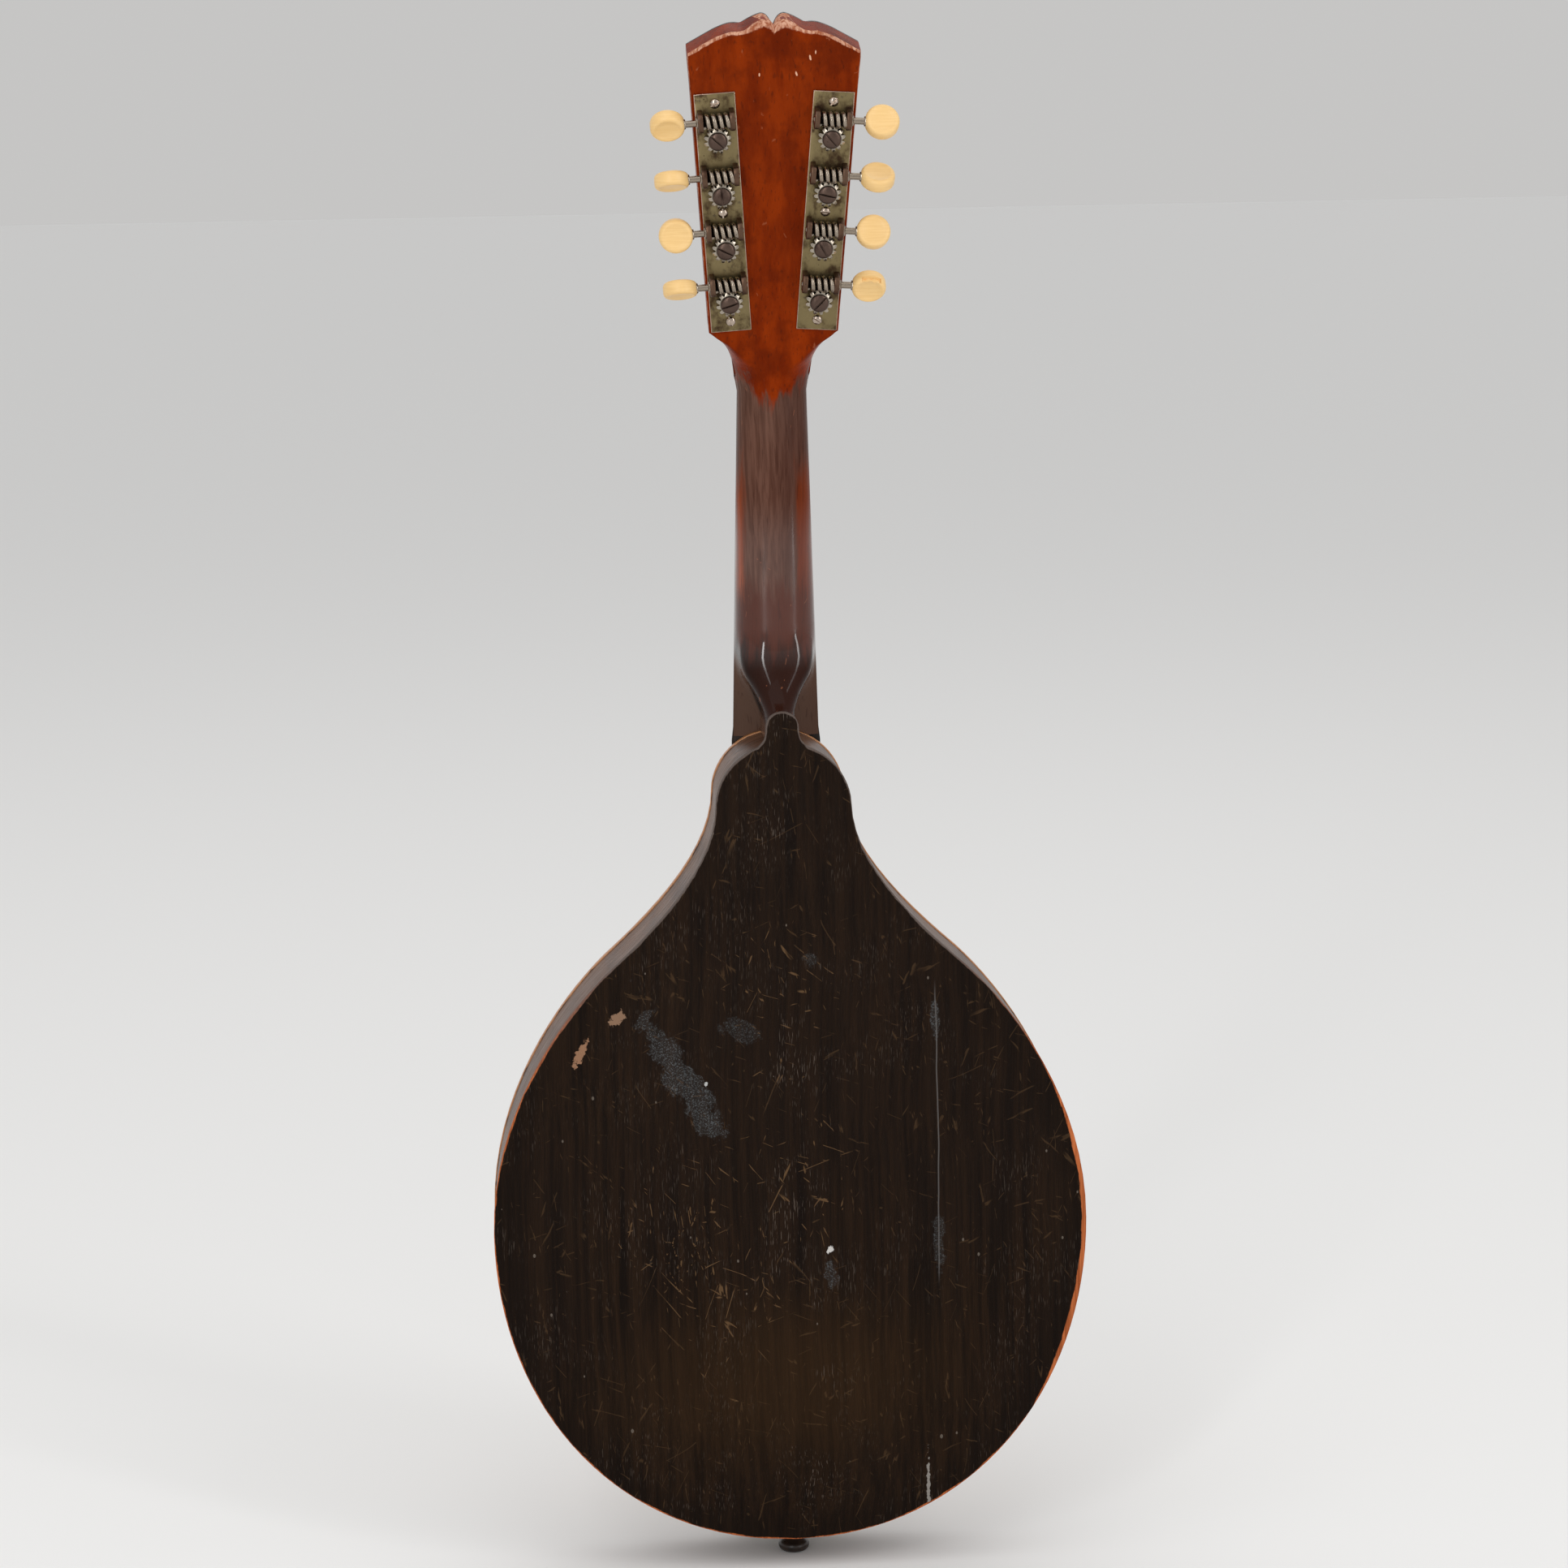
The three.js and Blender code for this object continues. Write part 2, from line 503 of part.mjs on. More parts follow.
// Gear with a tooth gap facing +z, on the string post that runs forward through the headstock.
function gearPost() {
  const shape = new THREE.Shape();
  for (let i = 0; i < TEETH; i += 1) {
    const middle = (2 * Math.PI * (i + 0.5)) / TEETH;
    [[-0.7, GEAR_ROOT_R], [-0.25, GEAR_TIP_R], [0.25, GEAR_TIP_R], [0.7, GEAR_ROOT_R]].forEach(([w, r], j) => {
      const angle = middle + w / r;
      const [x, z] = [r * Math.sin(angle), r * Math.cos(angle)];
      if (i === 0 && j === 0) {
        shape.moveTo(x, z);
      } else {
        shape.lineTo(x, z);
      }
    });
  }
  const gear = slab(shape, GEAR_FACE, WORM_HEIGHT + GEAR_FACE / 2);
  return solid(gear).add(solid(cylinder(POST_R, -HEAD_THICKNESS - POST_REACH, WORM_HEIGHT - 1, 12)));
}

function tunerButton(turn) {
  const rim = [[0, 2.6], [4.3, 2.9], [5.9, 3.8], [BUTTON_R, 2.4]];
  const profile = [...rim, ...rim.slice().reverse().map(([r, y]) => [r, -y])];
  const disc = new THREE.LatheGeometry(profile.reverse().map((p) => new THREE.Vector2(...p)), 14);
  const socket = cylinder(SHAFT_R + 0.05, -9, -2.05, 8, "x");
  return solid(disc.rotateX(rad(turn))).subtract(solid(socket));
}

const screwProfile = [[0, -8], [1.05, -7], [1.05, 1.03], [2.3, 1.03], [2.2, 1.6], [1.3, 2.3], [0, 2.5]];

sides.forEach(([name, side]) => {
  const frame = tunerFrame(side);
  const place = (geometry, z, y = 0) => geometry.translate(0, y, z).applyMatrix4(frame);
  part(`tuner_plate_${name}`, tunerPlate(side), "plate", true);
  SCREW_STATIONS.forEach((z, i) => {
    const screw = new THREE.LatheGeometry(screwProfile.map((p) => new THREE.Vector2(...p)), 8);
    part(`plate_screw_${name}_${i + 1}`, place(screw, z), "plate", true);
  });
  GEAR_STATIONS.forEach((z, i) => {
    const worm = surface(wormShaft());
    const knob = surface(tunerButton(BUTTON_TURNS[name][i])).translate(BUTTON_X, 0, 0);
    [worm, knob].forEach((geometry) => {
      if (side < 0) {
        geometry.rotateZ(Math.PI);
      }
    });
    part(`worm_shaft_${name}_${i + 1}`, place(worm, z + CENTRE_DISTANCE, WORM_HEIGHT), "steel", true);
    part(`tuner_button_${name}_${i + 1}`, place(knob, z + CENTRE_DISTANCE, WORM_HEIGHT), "ivoroid");
    part(`gear_post_${name}_${i + 1}`, place(surface(gearPost()), z), "steel", true);
  });
});

// ---- strings ----------------------------------------------------------------------------------

// Taut string through its supports, with six-sided rings square to x.
function taut(points, radius) {
  return loft(points.map((p, i) => {
    const before = points[Math.max(i - 1, 0)];
    const after = points[Math.min(i + 1, points.length - 1)];
    const along = after.clone().sub(before).normalize();
    const up = along.clone().cross(V(1, 0, 0)).normalize();
    return [0, 1, 2, 3, 4, 5].map((k) => p.clone()
      .addScaledVector(V(1, 0, 0), radius * Math.cos((k * Math.PI) / 3))
      .addScaledVector(up, radius * Math.sin((k * Math.PI) / 3)));
  }));
}

const courses = {
  bass: { names: ["g_1", "g_2", "d_1", "d_2"], gauges: [0.5, 0.5, 0.33, 0.33] },
  treble: { names: ["e_1", "e_2", "a_1", "a_2"], gauges: [0.16, 0.16, 0.2, 0.2] },
};
const NUT_X = [11.7, 9.5, 4.6, 2.4];
const BRIDGE_X = [20, 17.6, 7.6, 5.2];
const TAIL_X = [13.4, 11, 5, 2.6];

sides.forEach(([name, side]) => {
  courses[name].names.forEach((label, i) => {
    const r = courses[name].gauges[i];
    const post = V(-side * (POST_R + r + 0.08), -HEAD_THICKNESS - 6, GEAR_STATIONS[i]);
    const points = [
      post.applyMatrix4(tunerFrame(side)),
      onNeck(side * NUT_X[i], -NUT_TOP - r - 0.06, NUT_LENGTH * 0.45),
      onNeck(side * NUT_X[i], -NUT_TOP - r - 0.06, 0),
      V(side * BRIDGE_X[i], bridgePoint.y - r - 0.06, bridgeZ),
      V(side * TAIL_X[i], TAIL_STRING[0], TAIL_STRING[1]),
    ];
    part(`string_${label}`, taut(points, r), "wire", true);
  });
});

export default root;
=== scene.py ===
# %% [markdown]
# # An old teardrop mandolin, seen from behind
# The real object is a teardrop mandolin: a shallow box of bent ribs between two carved plates, a
# mahogany neck with its headstock, and two brass strips that each hold four worm-and-gear tuners.
# This file dresses the measured CAD frame: every piece is modelled with mesh operators where the
# frame says it belongs, gets a node-based finish, and rides on the body that moves it.

import math

import bmesh
import bpy
from mathutils import Matrix, Vector
from mathutils.geometry import interpolate_bezier
from mathutils.kdtree import KDTree


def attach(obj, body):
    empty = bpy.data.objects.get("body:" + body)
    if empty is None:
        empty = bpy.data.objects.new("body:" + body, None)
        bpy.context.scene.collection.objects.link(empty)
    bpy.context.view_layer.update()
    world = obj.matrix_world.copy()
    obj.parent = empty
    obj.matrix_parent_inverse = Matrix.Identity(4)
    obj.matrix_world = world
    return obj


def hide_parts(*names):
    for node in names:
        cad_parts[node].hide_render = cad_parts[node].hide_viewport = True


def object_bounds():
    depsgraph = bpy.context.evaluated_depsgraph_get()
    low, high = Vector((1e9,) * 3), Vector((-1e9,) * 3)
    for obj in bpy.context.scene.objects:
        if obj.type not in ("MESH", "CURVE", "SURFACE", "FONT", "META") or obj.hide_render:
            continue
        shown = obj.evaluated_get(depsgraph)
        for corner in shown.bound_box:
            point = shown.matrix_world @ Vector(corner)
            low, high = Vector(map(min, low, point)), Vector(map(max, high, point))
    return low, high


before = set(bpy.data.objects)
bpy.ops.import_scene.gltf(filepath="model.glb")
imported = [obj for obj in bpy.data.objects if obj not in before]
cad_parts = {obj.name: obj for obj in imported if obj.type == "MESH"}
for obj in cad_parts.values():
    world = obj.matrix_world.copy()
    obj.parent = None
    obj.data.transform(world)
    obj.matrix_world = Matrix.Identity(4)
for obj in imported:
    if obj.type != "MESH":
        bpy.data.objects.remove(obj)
CAD_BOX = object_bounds()

# %% [markdown]
# ## Places
# An instrument maker draws the neck and the headstock on their own axes, because both lean back.
# Modelling in those leaning frames keeps every number simple, so each frame is a matrix, and a
# finished piece is carried through it once. Drawing is in millimetres and scaled at the very end.

# %% Frames of the neck, the headstock and the two tuner strips
MM = 0.001
NECK_PITCH = 5.0
HEAD_TILT = 18.0
HEAD_BACK = 16.0
STRIP_LEAN = 3.75
STRIP_FOOT = (17.7, 25.7)
UPRIGHT = Matrix.Identity(4)
NECK = Matrix.Rotation(math.radians(-NECK_PITCH), 4, "X")
HEAD = Matrix.Translation((0, HEAD_BACK, 0)) @ Matrix.Rotation(math.radians(-HEAD_TILT), 4, "X")
SIDES = {"treble": 1, "bass": -1}


def strip_frame(side):
    """z along a tuner strip's middle line, y out of the headstock's back."""
    foot = Matrix.Translation((side * STRIP_FOOT[0], 0, STRIP_FOOT[1]))
    return HEAD @ foot @ Matrix.Rotation(math.radians(side * STRIP_LEAN), 4, "Y")


print("strip frame origin, mm", [round(v, 2) for v in strip_frame(1).translation])

# %% [markdown]
# ## Small tools
# The same few moves come back for every piece: a closed loop of points, a loop pushed to a new
# place, an eased edge, a smooth curve through a short table. Each is written once, around one
# bmesh operator. Curves come from short tables because that is how a maker notes an arch.

# %% Curves and tables
def along(table, at):
    """Straight-line reading of a table of (key, value) pairs with rising keys."""
    if at <= table[0][0]:
        return table[0][1]
    for (k0, v0), (k1, v1) in zip(table, table[1:]):
        if at <= k1:
            return v0 + (v1 - v0) * (at - k0) / (k1 - k0)
    return table[-1][1]


def eased(table, at):
    """The same table read as a smooth curve that leaves each end level."""
    if at <= table[0][0] or at >= table[-1][0]:
        return along(table, at)
    i = next(n for n in range(len(table) - 1) if at <= table[n + 1][0])
    slopes = [0.0] * len(table)
    for n in range(1, len(table) - 1):
        slopes[n] = (table[n + 1][1] - table[n - 1][1]) / (table[n + 1][0] - table[n - 1][0])
    (k0, v0), (k1, v1) = table[i], table[i + 1]
    step = k1 - k0
    t = (at - k0) / step
    start = (1 + 2 * t) * (1 - t) ** 2 * v0 + t * (1 - t) ** 2 * step * slopes[i]
    return start + t * t * (3 - 2 * t) * v1 + t * t * (t - 1) * step * slopes[i + 1]


def smoothstep(low, high, at):
    t = min(max((at - low) / (high - low), 0.0), 1.0)
    return t * t * (3 - 2 * t)


def cubic(a, b, c, d, steps):
    return interpolate_bezier(Vector(a), Vector(b), Vector(c), Vector(d), steps + 1)


def quadratic(a, b, c, steps):
    a, b, c = Vector(a), Vector(b), Vector(c)
    return interpolate_bezier(a, a.lerp(b, 2 / 3), c.lerp(b, 2 / 3), c, steps + 1)


def chain(*curves):
    """Joins curves end to end, without repeating the shared points."""
    points = list(curves[0])
    for curve in curves[1:]:
        points += list(curve)[1:]
    return points


def mirrored(half):
    """Closes a half outline, drawn from the middle round to the middle, over the other side."""
    return half + [Vector((-p.x, p.y)) for p in reversed(half[1:-1])]


# %% Mesh moves
WELD = 0.0005  # points closer than this, in millimetres, become one


def only(kind, geometry):
    return [g for g in geometry if isinstance(g, kind)]


def loop_of(bm, points):
    """A closed loop of edges through the given points."""
    verts = bmesh.ops.create_circle(bm, segments=len(points), radius=1.0)["verts"]
    for vert, point in zip(verts, points):
        vert.co = point
    ring = set(verts)
    return [e for e in bm.edges if e.verts[0] in ring and e.verts[1] in ring]


def grow(bm, edges):
    """Extrudes a loop and returns the new loop's edges and points."""
    made = bmesh.ops.extrude_edge_only(bm, edges=edges)["geom"]
    verts = only(bmesh.types.BMVert, made)
    ring = set(verts)
    return [e for e in only(bmesh.types.BMEdge, made) if ring >= set(e.verts)], verts


def sheet_from(bm, points, thickness, back=0.0):
    """A flat outline in x and z, given its thickness from y = back towards the front."""
    edges = loop_of(bm, [Vector((p.x, back, p.y)) for p in points])
    face = bmesh.ops.contextual_create(bm, geom=edges)["faces"]
    made = bmesh.ops.extrude_face_region(bm, geom=face)["geom"]
    bmesh.ops.translate(bm, vec=(0, -thickness, 0), verts=only(bmesh.types.BMVert, made))
    tidy(bm)


def tidy(bm):
    bmesh.ops.remove_doubles(bm, verts=bm.verts, dist=WELD)
    bmesh.ops.recalc_face_normals(bm, faces=bm.faces)


def skin(bm, rows):
    """Closed rings of points, one per station, as a grid wrapped on itself."""
    count = len(rows[0]) + 1
    grid = bmesh.ops.create_grid(bm, x_segments=count - 1, y_segments=len(rows) - 1, size=1.0)["verts"]
    places = (row[i % len(row)] for row in rows for i in range(count))
    for vert, place in zip(grid, places):
        vert.co = place
    bmesh.ops.remove_doubles(bm, verts=grid, dist=WELD)
    open_edges = [e for e in bm.edges if e.is_boundary]
    bmesh.ops.holes_fill(bm, edges=open_edges, sides=0)
    bmesh.ops.recalc_face_normals(bm, faces=bm.faces)


def ease_edges(bm, width, degrees=40, segments=2, keep=None):
    """Bevels every edge sharper than an angle, or those that also pass the test."""
    sharp = [
        e for e in bm.edges
        if len(e.link_faces) == 2 and e.calc_face_angle(0) > math.radians(degrees)
        and (keep is None or keep(e))
    ]
    bmesh.ops.bevel(
        bm, geom=sharp, offset=width, segments=segments, profile=0.5, affect="EDGES",
        material=-1, clamp_overlap=True,
    )


def turned(bm, profile, steps, axis=(0, 1, 0), across=(1, 0, 0), centre=(0, 0, 0)):
    """Spins a profile of (radius, height) pairs into a closed turned shape, as on a lathe."""
    axis, across, centre = Vector(axis), Vector(across), Vector(centre)
    before = set(bm.verts)
    verts = [bm.verts.new(centre + across * r + axis * h) for r, h in profile]
    edges = [bm.edges.new(pair) for pair in zip(verts, verts[1:])]
    bmesh.ops.spin(
        bm, geom=verts + edges, cent=centre, axis=axis, dvec=(0, 0, 0), angle=2 * math.pi,
        steps=steps, use_merge=True, use_duplicate=False,
    )
    made = [v for v in bm.verts if v not in before]
    bmesh.ops.remove_doubles(bm, verts=made, dist=WELD)
    bmesh.ops.recalc_face_normals(bm, faces=bm.faces)
    return [v for v in bm.verts if v not in before]


def brick(bm, x, y, z):
    """A block between two values on each axis; returns its vertices."""
    size = Vector((x[1] - x[0], y[1] - y[0], z[1] - z[0]))
    middle = Vector((x[0] + x[1], y[0] + y[1], z[0] + z[1])) / 2
    verts = bmesh.ops.create_cube(bm, size=1.0)["verts"]
    bmesh.ops.scale(bm, vec=size, verts=verts)
    bmesh.ops.translate(bm, vec=middle, verts=verts)
    return verts


def rod(bm, radius, start, end, sides=20):
    """A closed round bar between two points; returns its vertices."""
    start, end = Vector(start), Vector(end)
    turn = (end - start).to_track_quat("Z", "Y").to_matrix().to_4x4()
    place = Matrix.Translation((start + end) / 2) @ turn
    return bmesh.ops.create_cone(
        bm, cap_ends=True, segments=sides, radius1=radius, radius2=radius,
        depth=(end - start).length, matrix=place,
    )["verts"]


# %% Drawings kept and reused
def as_mesh(name, bm):
    """Turns a finished drawing into a mesh and lets the drawing go."""
    mesh = bpy.data.meshes.new(name)
    bm.to_mesh(mesh)
    bm.free()
    return mesh


def from_drawing(mesh, place):
    bm = bmesh.new()
    bm.from_mesh(mesh)
    bmesh.ops.transform(bm, matrix=place, verts=bm.verts)
    return bm


def pour(part, bm):
    """Adds a separate drawing to another one, by way of a mesh that is then thrown away."""
    mesh = as_mesh("part", part)
    bm.from_mesh(mesh)
    bpy.data.meshes.remove(mesh)


def into_scene(name, mesh):
    made = bpy.data.objects.new(name, mesh)
    bpy.context.scene.collection.objects.link(made)
    return made


# %% Pieces
def shade(mesh, sharp):
    mesh.shade_smooth()
    mesh.set_sharp_from_angle(angle=math.radians(sharp))


def add_piece(name, bm, finish, body, nodes=(), place=UPRIGHT, sharp=35):
    """Carries a drawing in millimetres to its place and hands the piece to the frame."""
    bmesh.ops.transform(bm, matrix=Matrix.Scale(MM, 4) @ place, verts=bm.verts)
    loose = sum(1 for e in bm.edges if not e.is_manifold)
    mesh = as_mesh(name, bm)
    mesh.materials.append(finish)
    shade(mesh, sharp)
    piece = into_scene(name, mesh)
    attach(piece, body)
    if nodes:
        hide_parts(*nodes)
    print(name, "faces", len(mesh.polygons), "open edges", loose)
    return piece


def cut_away(piece, cutter, place=UPRIGHT, sharp=35):
    """Cuts a drawing in millimetres out of a piece with a Boolean, and keeps the result."""
    bmesh.ops.transform(cutter, matrix=Matrix.Scale(MM, 4) @ place, verts=cutter.verts)
    tool = into_scene("cutter", as_mesh("cutter", cutter))
    saw = piece.modifiers.new("cut", "BOOLEAN")
    saw.operation = "DIFFERENCE"
    saw.solver = "EXACT"
    saw.use_self = True
    saw.object = tool
    bpy.context.view_layer.update()
    ready = piece.evaluated_get(bpy.context.evaluated_depsgraph_get())
    result = bpy.data.meshes.new_from_object(ready)
    piece.modifiers.clear()
    piece.data = result
    bpy.data.objects.remove(tool)
    shade(result, sharp)
    print(piece.name, "cut, faces", len(result.polygons))


def note(piece, name, value):
    """Stores one number per vertex, worked out from its place in millimetres."""
    layer = piece.data.attributes.new(name, "FLOAT", "POINT")
    layer.data.foreach_set("value", [value(v.co / MM) for v in piece.data.vertices])


# %% [markdown]
# ## Camera, floor and light
# The camera stands behind and a little above, with a long lens. The floor is a plain pale sheet.
# Dark varnish shows mostly what it reflects, so the light is two large soft panels and two tall
# strips that draw the long highlights down a rounded neck, with a quiet pale room around them.

# %% Camera
AZIMUTH, ELEVATION, ROLL = 176.6, 8.9, -1.02
DISTANCE, LENS = 1.779, 96.2
TARGET = Vector((-0.00113, 0.0198, -0.1678))
scene = bpy.context.scene
azimuth, elevation = math.radians(AZIMUTH), math.radians(ELEVATION)
toward = Vector((
    math.sin(azimuth) * math.cos(elevation),
    -math.cos(azimuth) * math.cos(elevation),
    math.sin(elevation),
))
right = Vector((0, 0, 1)).cross(toward).normalized()
tilt = Matrix.Rotation(math.radians(ROLL), 3, toward)
axes = Matrix((tilt @ right, tilt @ toward.cross(right), toward)).transposed()
camera_data = bpy.data.cameras.new("camera")
camera_data.lens = LENS
camera_data.sensor_width = 36.0
camera_data.clip_start = 0.05
camera = bpy.data.objects.new("camera", camera_data)
scene.collection.objects.link(camera)
camera.matrix_world = Matrix.Translation(TARGET + toward * DISTANCE) @ axes.to_4x4()
scene.camera = camera
print("camera at", [round(v, 3) for v in camera.location])

# %% Floor and room
FLOOR_PALE = (0.84, 0.835, 0.825, 1.0)
scene.view_settings.view_transform = "Standard"
floor_drawing = bmesh.new()
bmesh.ops.create_grid(floor_drawing, x_segments=1, y_segments=1, size=30.0)
bmesh.ops.translate(floor_drawing, vec=(0, 0, CAD_BOX[0][2] - 0.0004), verts=floor_drawing.verts)
floor = into_scene("floor", as_mesh("floor", floor_drawing))
floor_paint = bpy.data.materials.new("floor_paint")
floor_paint.use_nodes = True
floor_shader = floor_paint.node_tree.nodes["Principled BSDF"]
floor_shader.inputs["Base Color"].default_value = FLOOR_PALE
floor_shader.inputs["Roughness"].default_value = 0.9
floor.data.materials.append(floor_paint)

ROOM_LIGHT = 0.68
ROOM_SEEN = (0.565, 0.56, 0.553, 1.0)
room = bpy.data.worlds.new("room")
scene.world = room
room.use_nodes = True
room_nodes = room.node_tree.nodes
soft = room_nodes["Background"]
soft.inputs["Color"].default_value = (1.0, 1.0, 1.0, 1.0)
soft.inputs["Strength"].default_value = ROOM_LIGHT
seen = room_nodes.new("ShaderNodeBackground")
seen.inputs["Color"].default_value = ROOM_SEEN
path = room_nodes.new("ShaderNodeLightPath")
choose = room_nodes.new("ShaderNodeMixShader")
room_links = room.node_tree.links
room_links.new(path.outputs["Is Camera Ray"], choose.inputs["Fac"])
room_links.new(soft.outputs["Background"], choose.inputs[1])
room_links.new(seen.outputs["Background"], choose.inputs[2])
room_links.new(choose.outputs["Shader"], room_nodes["World Output"].inputs["Surface"])


# %% Soft panels and tall strips
def panel(name, place, look_at, width, height, power):
    light = bpy.data.lights.new(name, "AREA")
    light.shape = "RECTANGLE"
    light.size, light.size_y = width, height
    light.energy = power
    lamp = bpy.data.objects.new(name, light)
    scene.collection.objects.link(lamp)
    lamp.location = place
    lamp.rotation_euler = (Vector(look_at) - Vector(place)).to_track_quat("-Z", "Y").to_euler()
    print(name, "at", place, "power", power)


panel("overhead", (0.5, 1.0, 2.6), (0, 0, -0.2), 2.6, 2.6, 15)
panel("front_overhead", (-0.4, -1.4, 2.2), (0, 0, -0.2), 2.0, 2.0, 9)
panel("strip_left", (0.66, 1.7, 0.45), (0, 0, -0.1), 0.13, 1.7, 9)
panel("strip_right", (-1.42, 1.38, 0.6), (0, 0, -0.1), 0.2, 2.3, 10)

# %% [markdown]
# ## Finishes
# Old varnish is never one colour. Each effect that several finishes share is a node group with
# named sockets: long wood grain, worn edges, scratches, specks and cloudy patches. Every finish
# then mixes its own colours through those masks. All patterns read the object's own coordinates,
# in metres, so they stay put when a piece turns.

# %% Node helpers
def feed(tree, made, inputs):
    """Links each input that is another node's output, and sets each one that is a plain value."""
    for socket, value in inputs:
        if isinstance(value, bpy.types.NodeSocket):
            tree.links.new(value, made.inputs[socket])
        else:
            made.inputs[socket].default_value = value


def add(tree, kind, inputs=(), **settings):
    """One node, its settings, and its inputs as (socket, value or output) pairs."""
    made = tree.nodes.new(kind)
    for key, value in settings.items():
        setattr(made, key, value)
    feed(tree, made, inputs)
    return made


def math_node(tree, operation, first, second=0.0, third=0.0):
    pairs = [(0, first), (1, second), (2, third)]
    return add(tree, "ShaderNodeMath", pairs, operation=operation).outputs[0]


def times(tree, first, second):
    return math_node(tree, "MULTIPLY", first, second)


def length_of(tree, first, second):
    """Length of the long side of a right angle whose short sides are the two values."""
    squares = math_node(tree, "ADD", times(tree, first, first), times(tree, second, second))
    return math_node(tree, "SQRT", squares)


def scaled(tree, vector, frequency):
    pairs = [(0, vector), (1, frequency)]
    return add(tree, "ShaderNodeVectorMath", pairs, operation="MULTIPLY").outputs[0]


def noise(tree, vector, scale=1.0, detail=3.0, roughness=0.55, distortion=0.0):
    pairs = [("Vector", vector), ("Scale", scale), ("Detail", detail), ("Roughness", roughness),
             ("Distortion", distortion)]
    return add(tree, "ShaderNodeTexNoise", pairs).outputs["Fac"]


def between(tree, value, low, high, to_low=0.0, to_high=1.0):
    """Smooth change from to_low to to_high as the value goes from low to high."""
    pairs = [("Value", value), ("From Min", low), ("From Max", high), ("To Min", to_low),
             ("To Max", to_high)]
    return add(tree, "ShaderNodeMapRange", pairs, interpolation_type="SMOOTHSTEP").outputs["Result"]


def blend_colour(tree, share, first, second):
    """A Mix node keeps sockets for every kind of value: its colours are numbers 6 and 7."""
    pairs = [(0, share), (6, first), (7, second)]
    return add(tree, "ShaderNodeMix", pairs, data_type="RGBA").outputs[2]


def blend_value(tree, share, first, second):
    pairs = [(0, share), (2, first), (3, second)]
    return add(tree, "ShaderNodeMix", pairs, data_type="FLOAT").outputs[0]


def group_tree(name, inputs, outputs):
    tree = bpy.data.node_groups.new(name, "ShaderNodeTree")
    for label, kind, value in inputs:
        socket = tree.interface.new_socket(label, in_out="INPUT", socket_type=kind)
        socket.default_value = value
    for label in outputs:
        tree.interface.new_socket(label, in_out="OUTPUT", socket_type="NodeSocketFloat")
    enter = tree.nodes.new("NodeGroupInput")
    leave = tree.nodes.new("NodeGroupOutput")
    print("group", name, "gives", outputs)
    return tree, enter.outputs, leave.inputs


def use(tree, made, **inputs):
    """Places a node group in a material; underscores in names stand for spaces."""
    pairs = [(key.replace("_", " "), value) for key, value in inputs.items()]
    return add(tree, "ShaderNodeGroup", pairs, node_tree=made).outputs


FLOAT, VECTOR = "NodeSocketFloat", "NodeSocketVector"

# %% [markdown]
# ### Wood grain
# Grain is noise drawn out along the board: a broad streak, a fine fibre and short dark pores.

# %% Group: wood grain
grain_group, g_in, g_out = group_tree(
    "wood grain",
    [("Vector", VECTOR, (0, 0, 0)), ("Frequency", VECTOR, (300.0, 300.0, 9.0)),
     ("Waviness", FLOAT, 0.004)],
    ["Streak", "Fibre", "Pore", "Cloud"],
)
bend = noise(grain_group, g_in["Vector"], 9.0, 2.0)
bend = times(grain_group, math_node(grain_group, "SUBTRACT", bend, 0.5), g_in["Waviness"])
swayed = add(grain_group, "ShaderNodeVectorMath", [(0, g_in["Vector"]), (1, bend)],
             operation="ADD").outputs[0]
stretched = scaled(grain_group, swayed, g_in["Frequency"])
streak = noise(grain_group, stretched, 0.35, 4.0, 0.6)
fibre = noise(grain_group, stretched, 2.2, 3.0, 0.65)
pore = noise(grain_group, scaled(grain_group, stretched, (3.0, 3.0, 4.0)), 1.0, 1.0, 0.4)
cloud = noise(grain_group, scaled(grain_group, g_in["Vector"], (11.0, 11.0, 7.0)), 1.0, 3.0, 0.5)
wires = grain_group.links
wires.new(between(grain_group, streak, 0.34, 0.66), g_out["Streak"])
wires.new(between(grain_group, fibre, 0.35, 0.65), g_out["Fibre"])
wires.new(between(grain_group, pore, 0.62, 0.72), g_out["Pore"])
wires.new(between(grain_group, cloud, 0.35, 0.65), g_out["Cloud"])

# %% [markdown]
# ### Worn edges, scratches, specks and patches
# Varnish rubs through where hands and cases touch: at edges. The mesh stores each point's distance
# from its edge in millimetres, and noise makes the worn band ragged. A scratch is the thin line
# where a slow noise passes its middle value, broken up by a second noise.

# %% Group: worn edge
wear_group, w_in, w_out = group_tree(
    "worn edge",
    [("Vector", VECTOR, (0, 0, 0)), ("Distance", FLOAT, 50.0), ("Width", FLOAT, 1.0),
     ("Ragged", FLOAT, 3.0), ("Frequency", FLOAT, 90.0)],
    ["Mask"],
)
ragged = noise(wear_group, w_in["Vector"], w_in["Frequency"], 5.0, 0.7)
ragged = math_node(wear_group, "SUBTRACT", ragged, 0.5)
reach = math_node(wear_group, "MULTIPLY_ADD", ragged, w_in["Ragged"], w_in["Width"])
inside = math_node(wear_group, "SUBTRACT", reach, w_in["Distance"])
wear_group.links.new(between(wear_group, inside, -0.12, 0.3), w_out["Mask"])

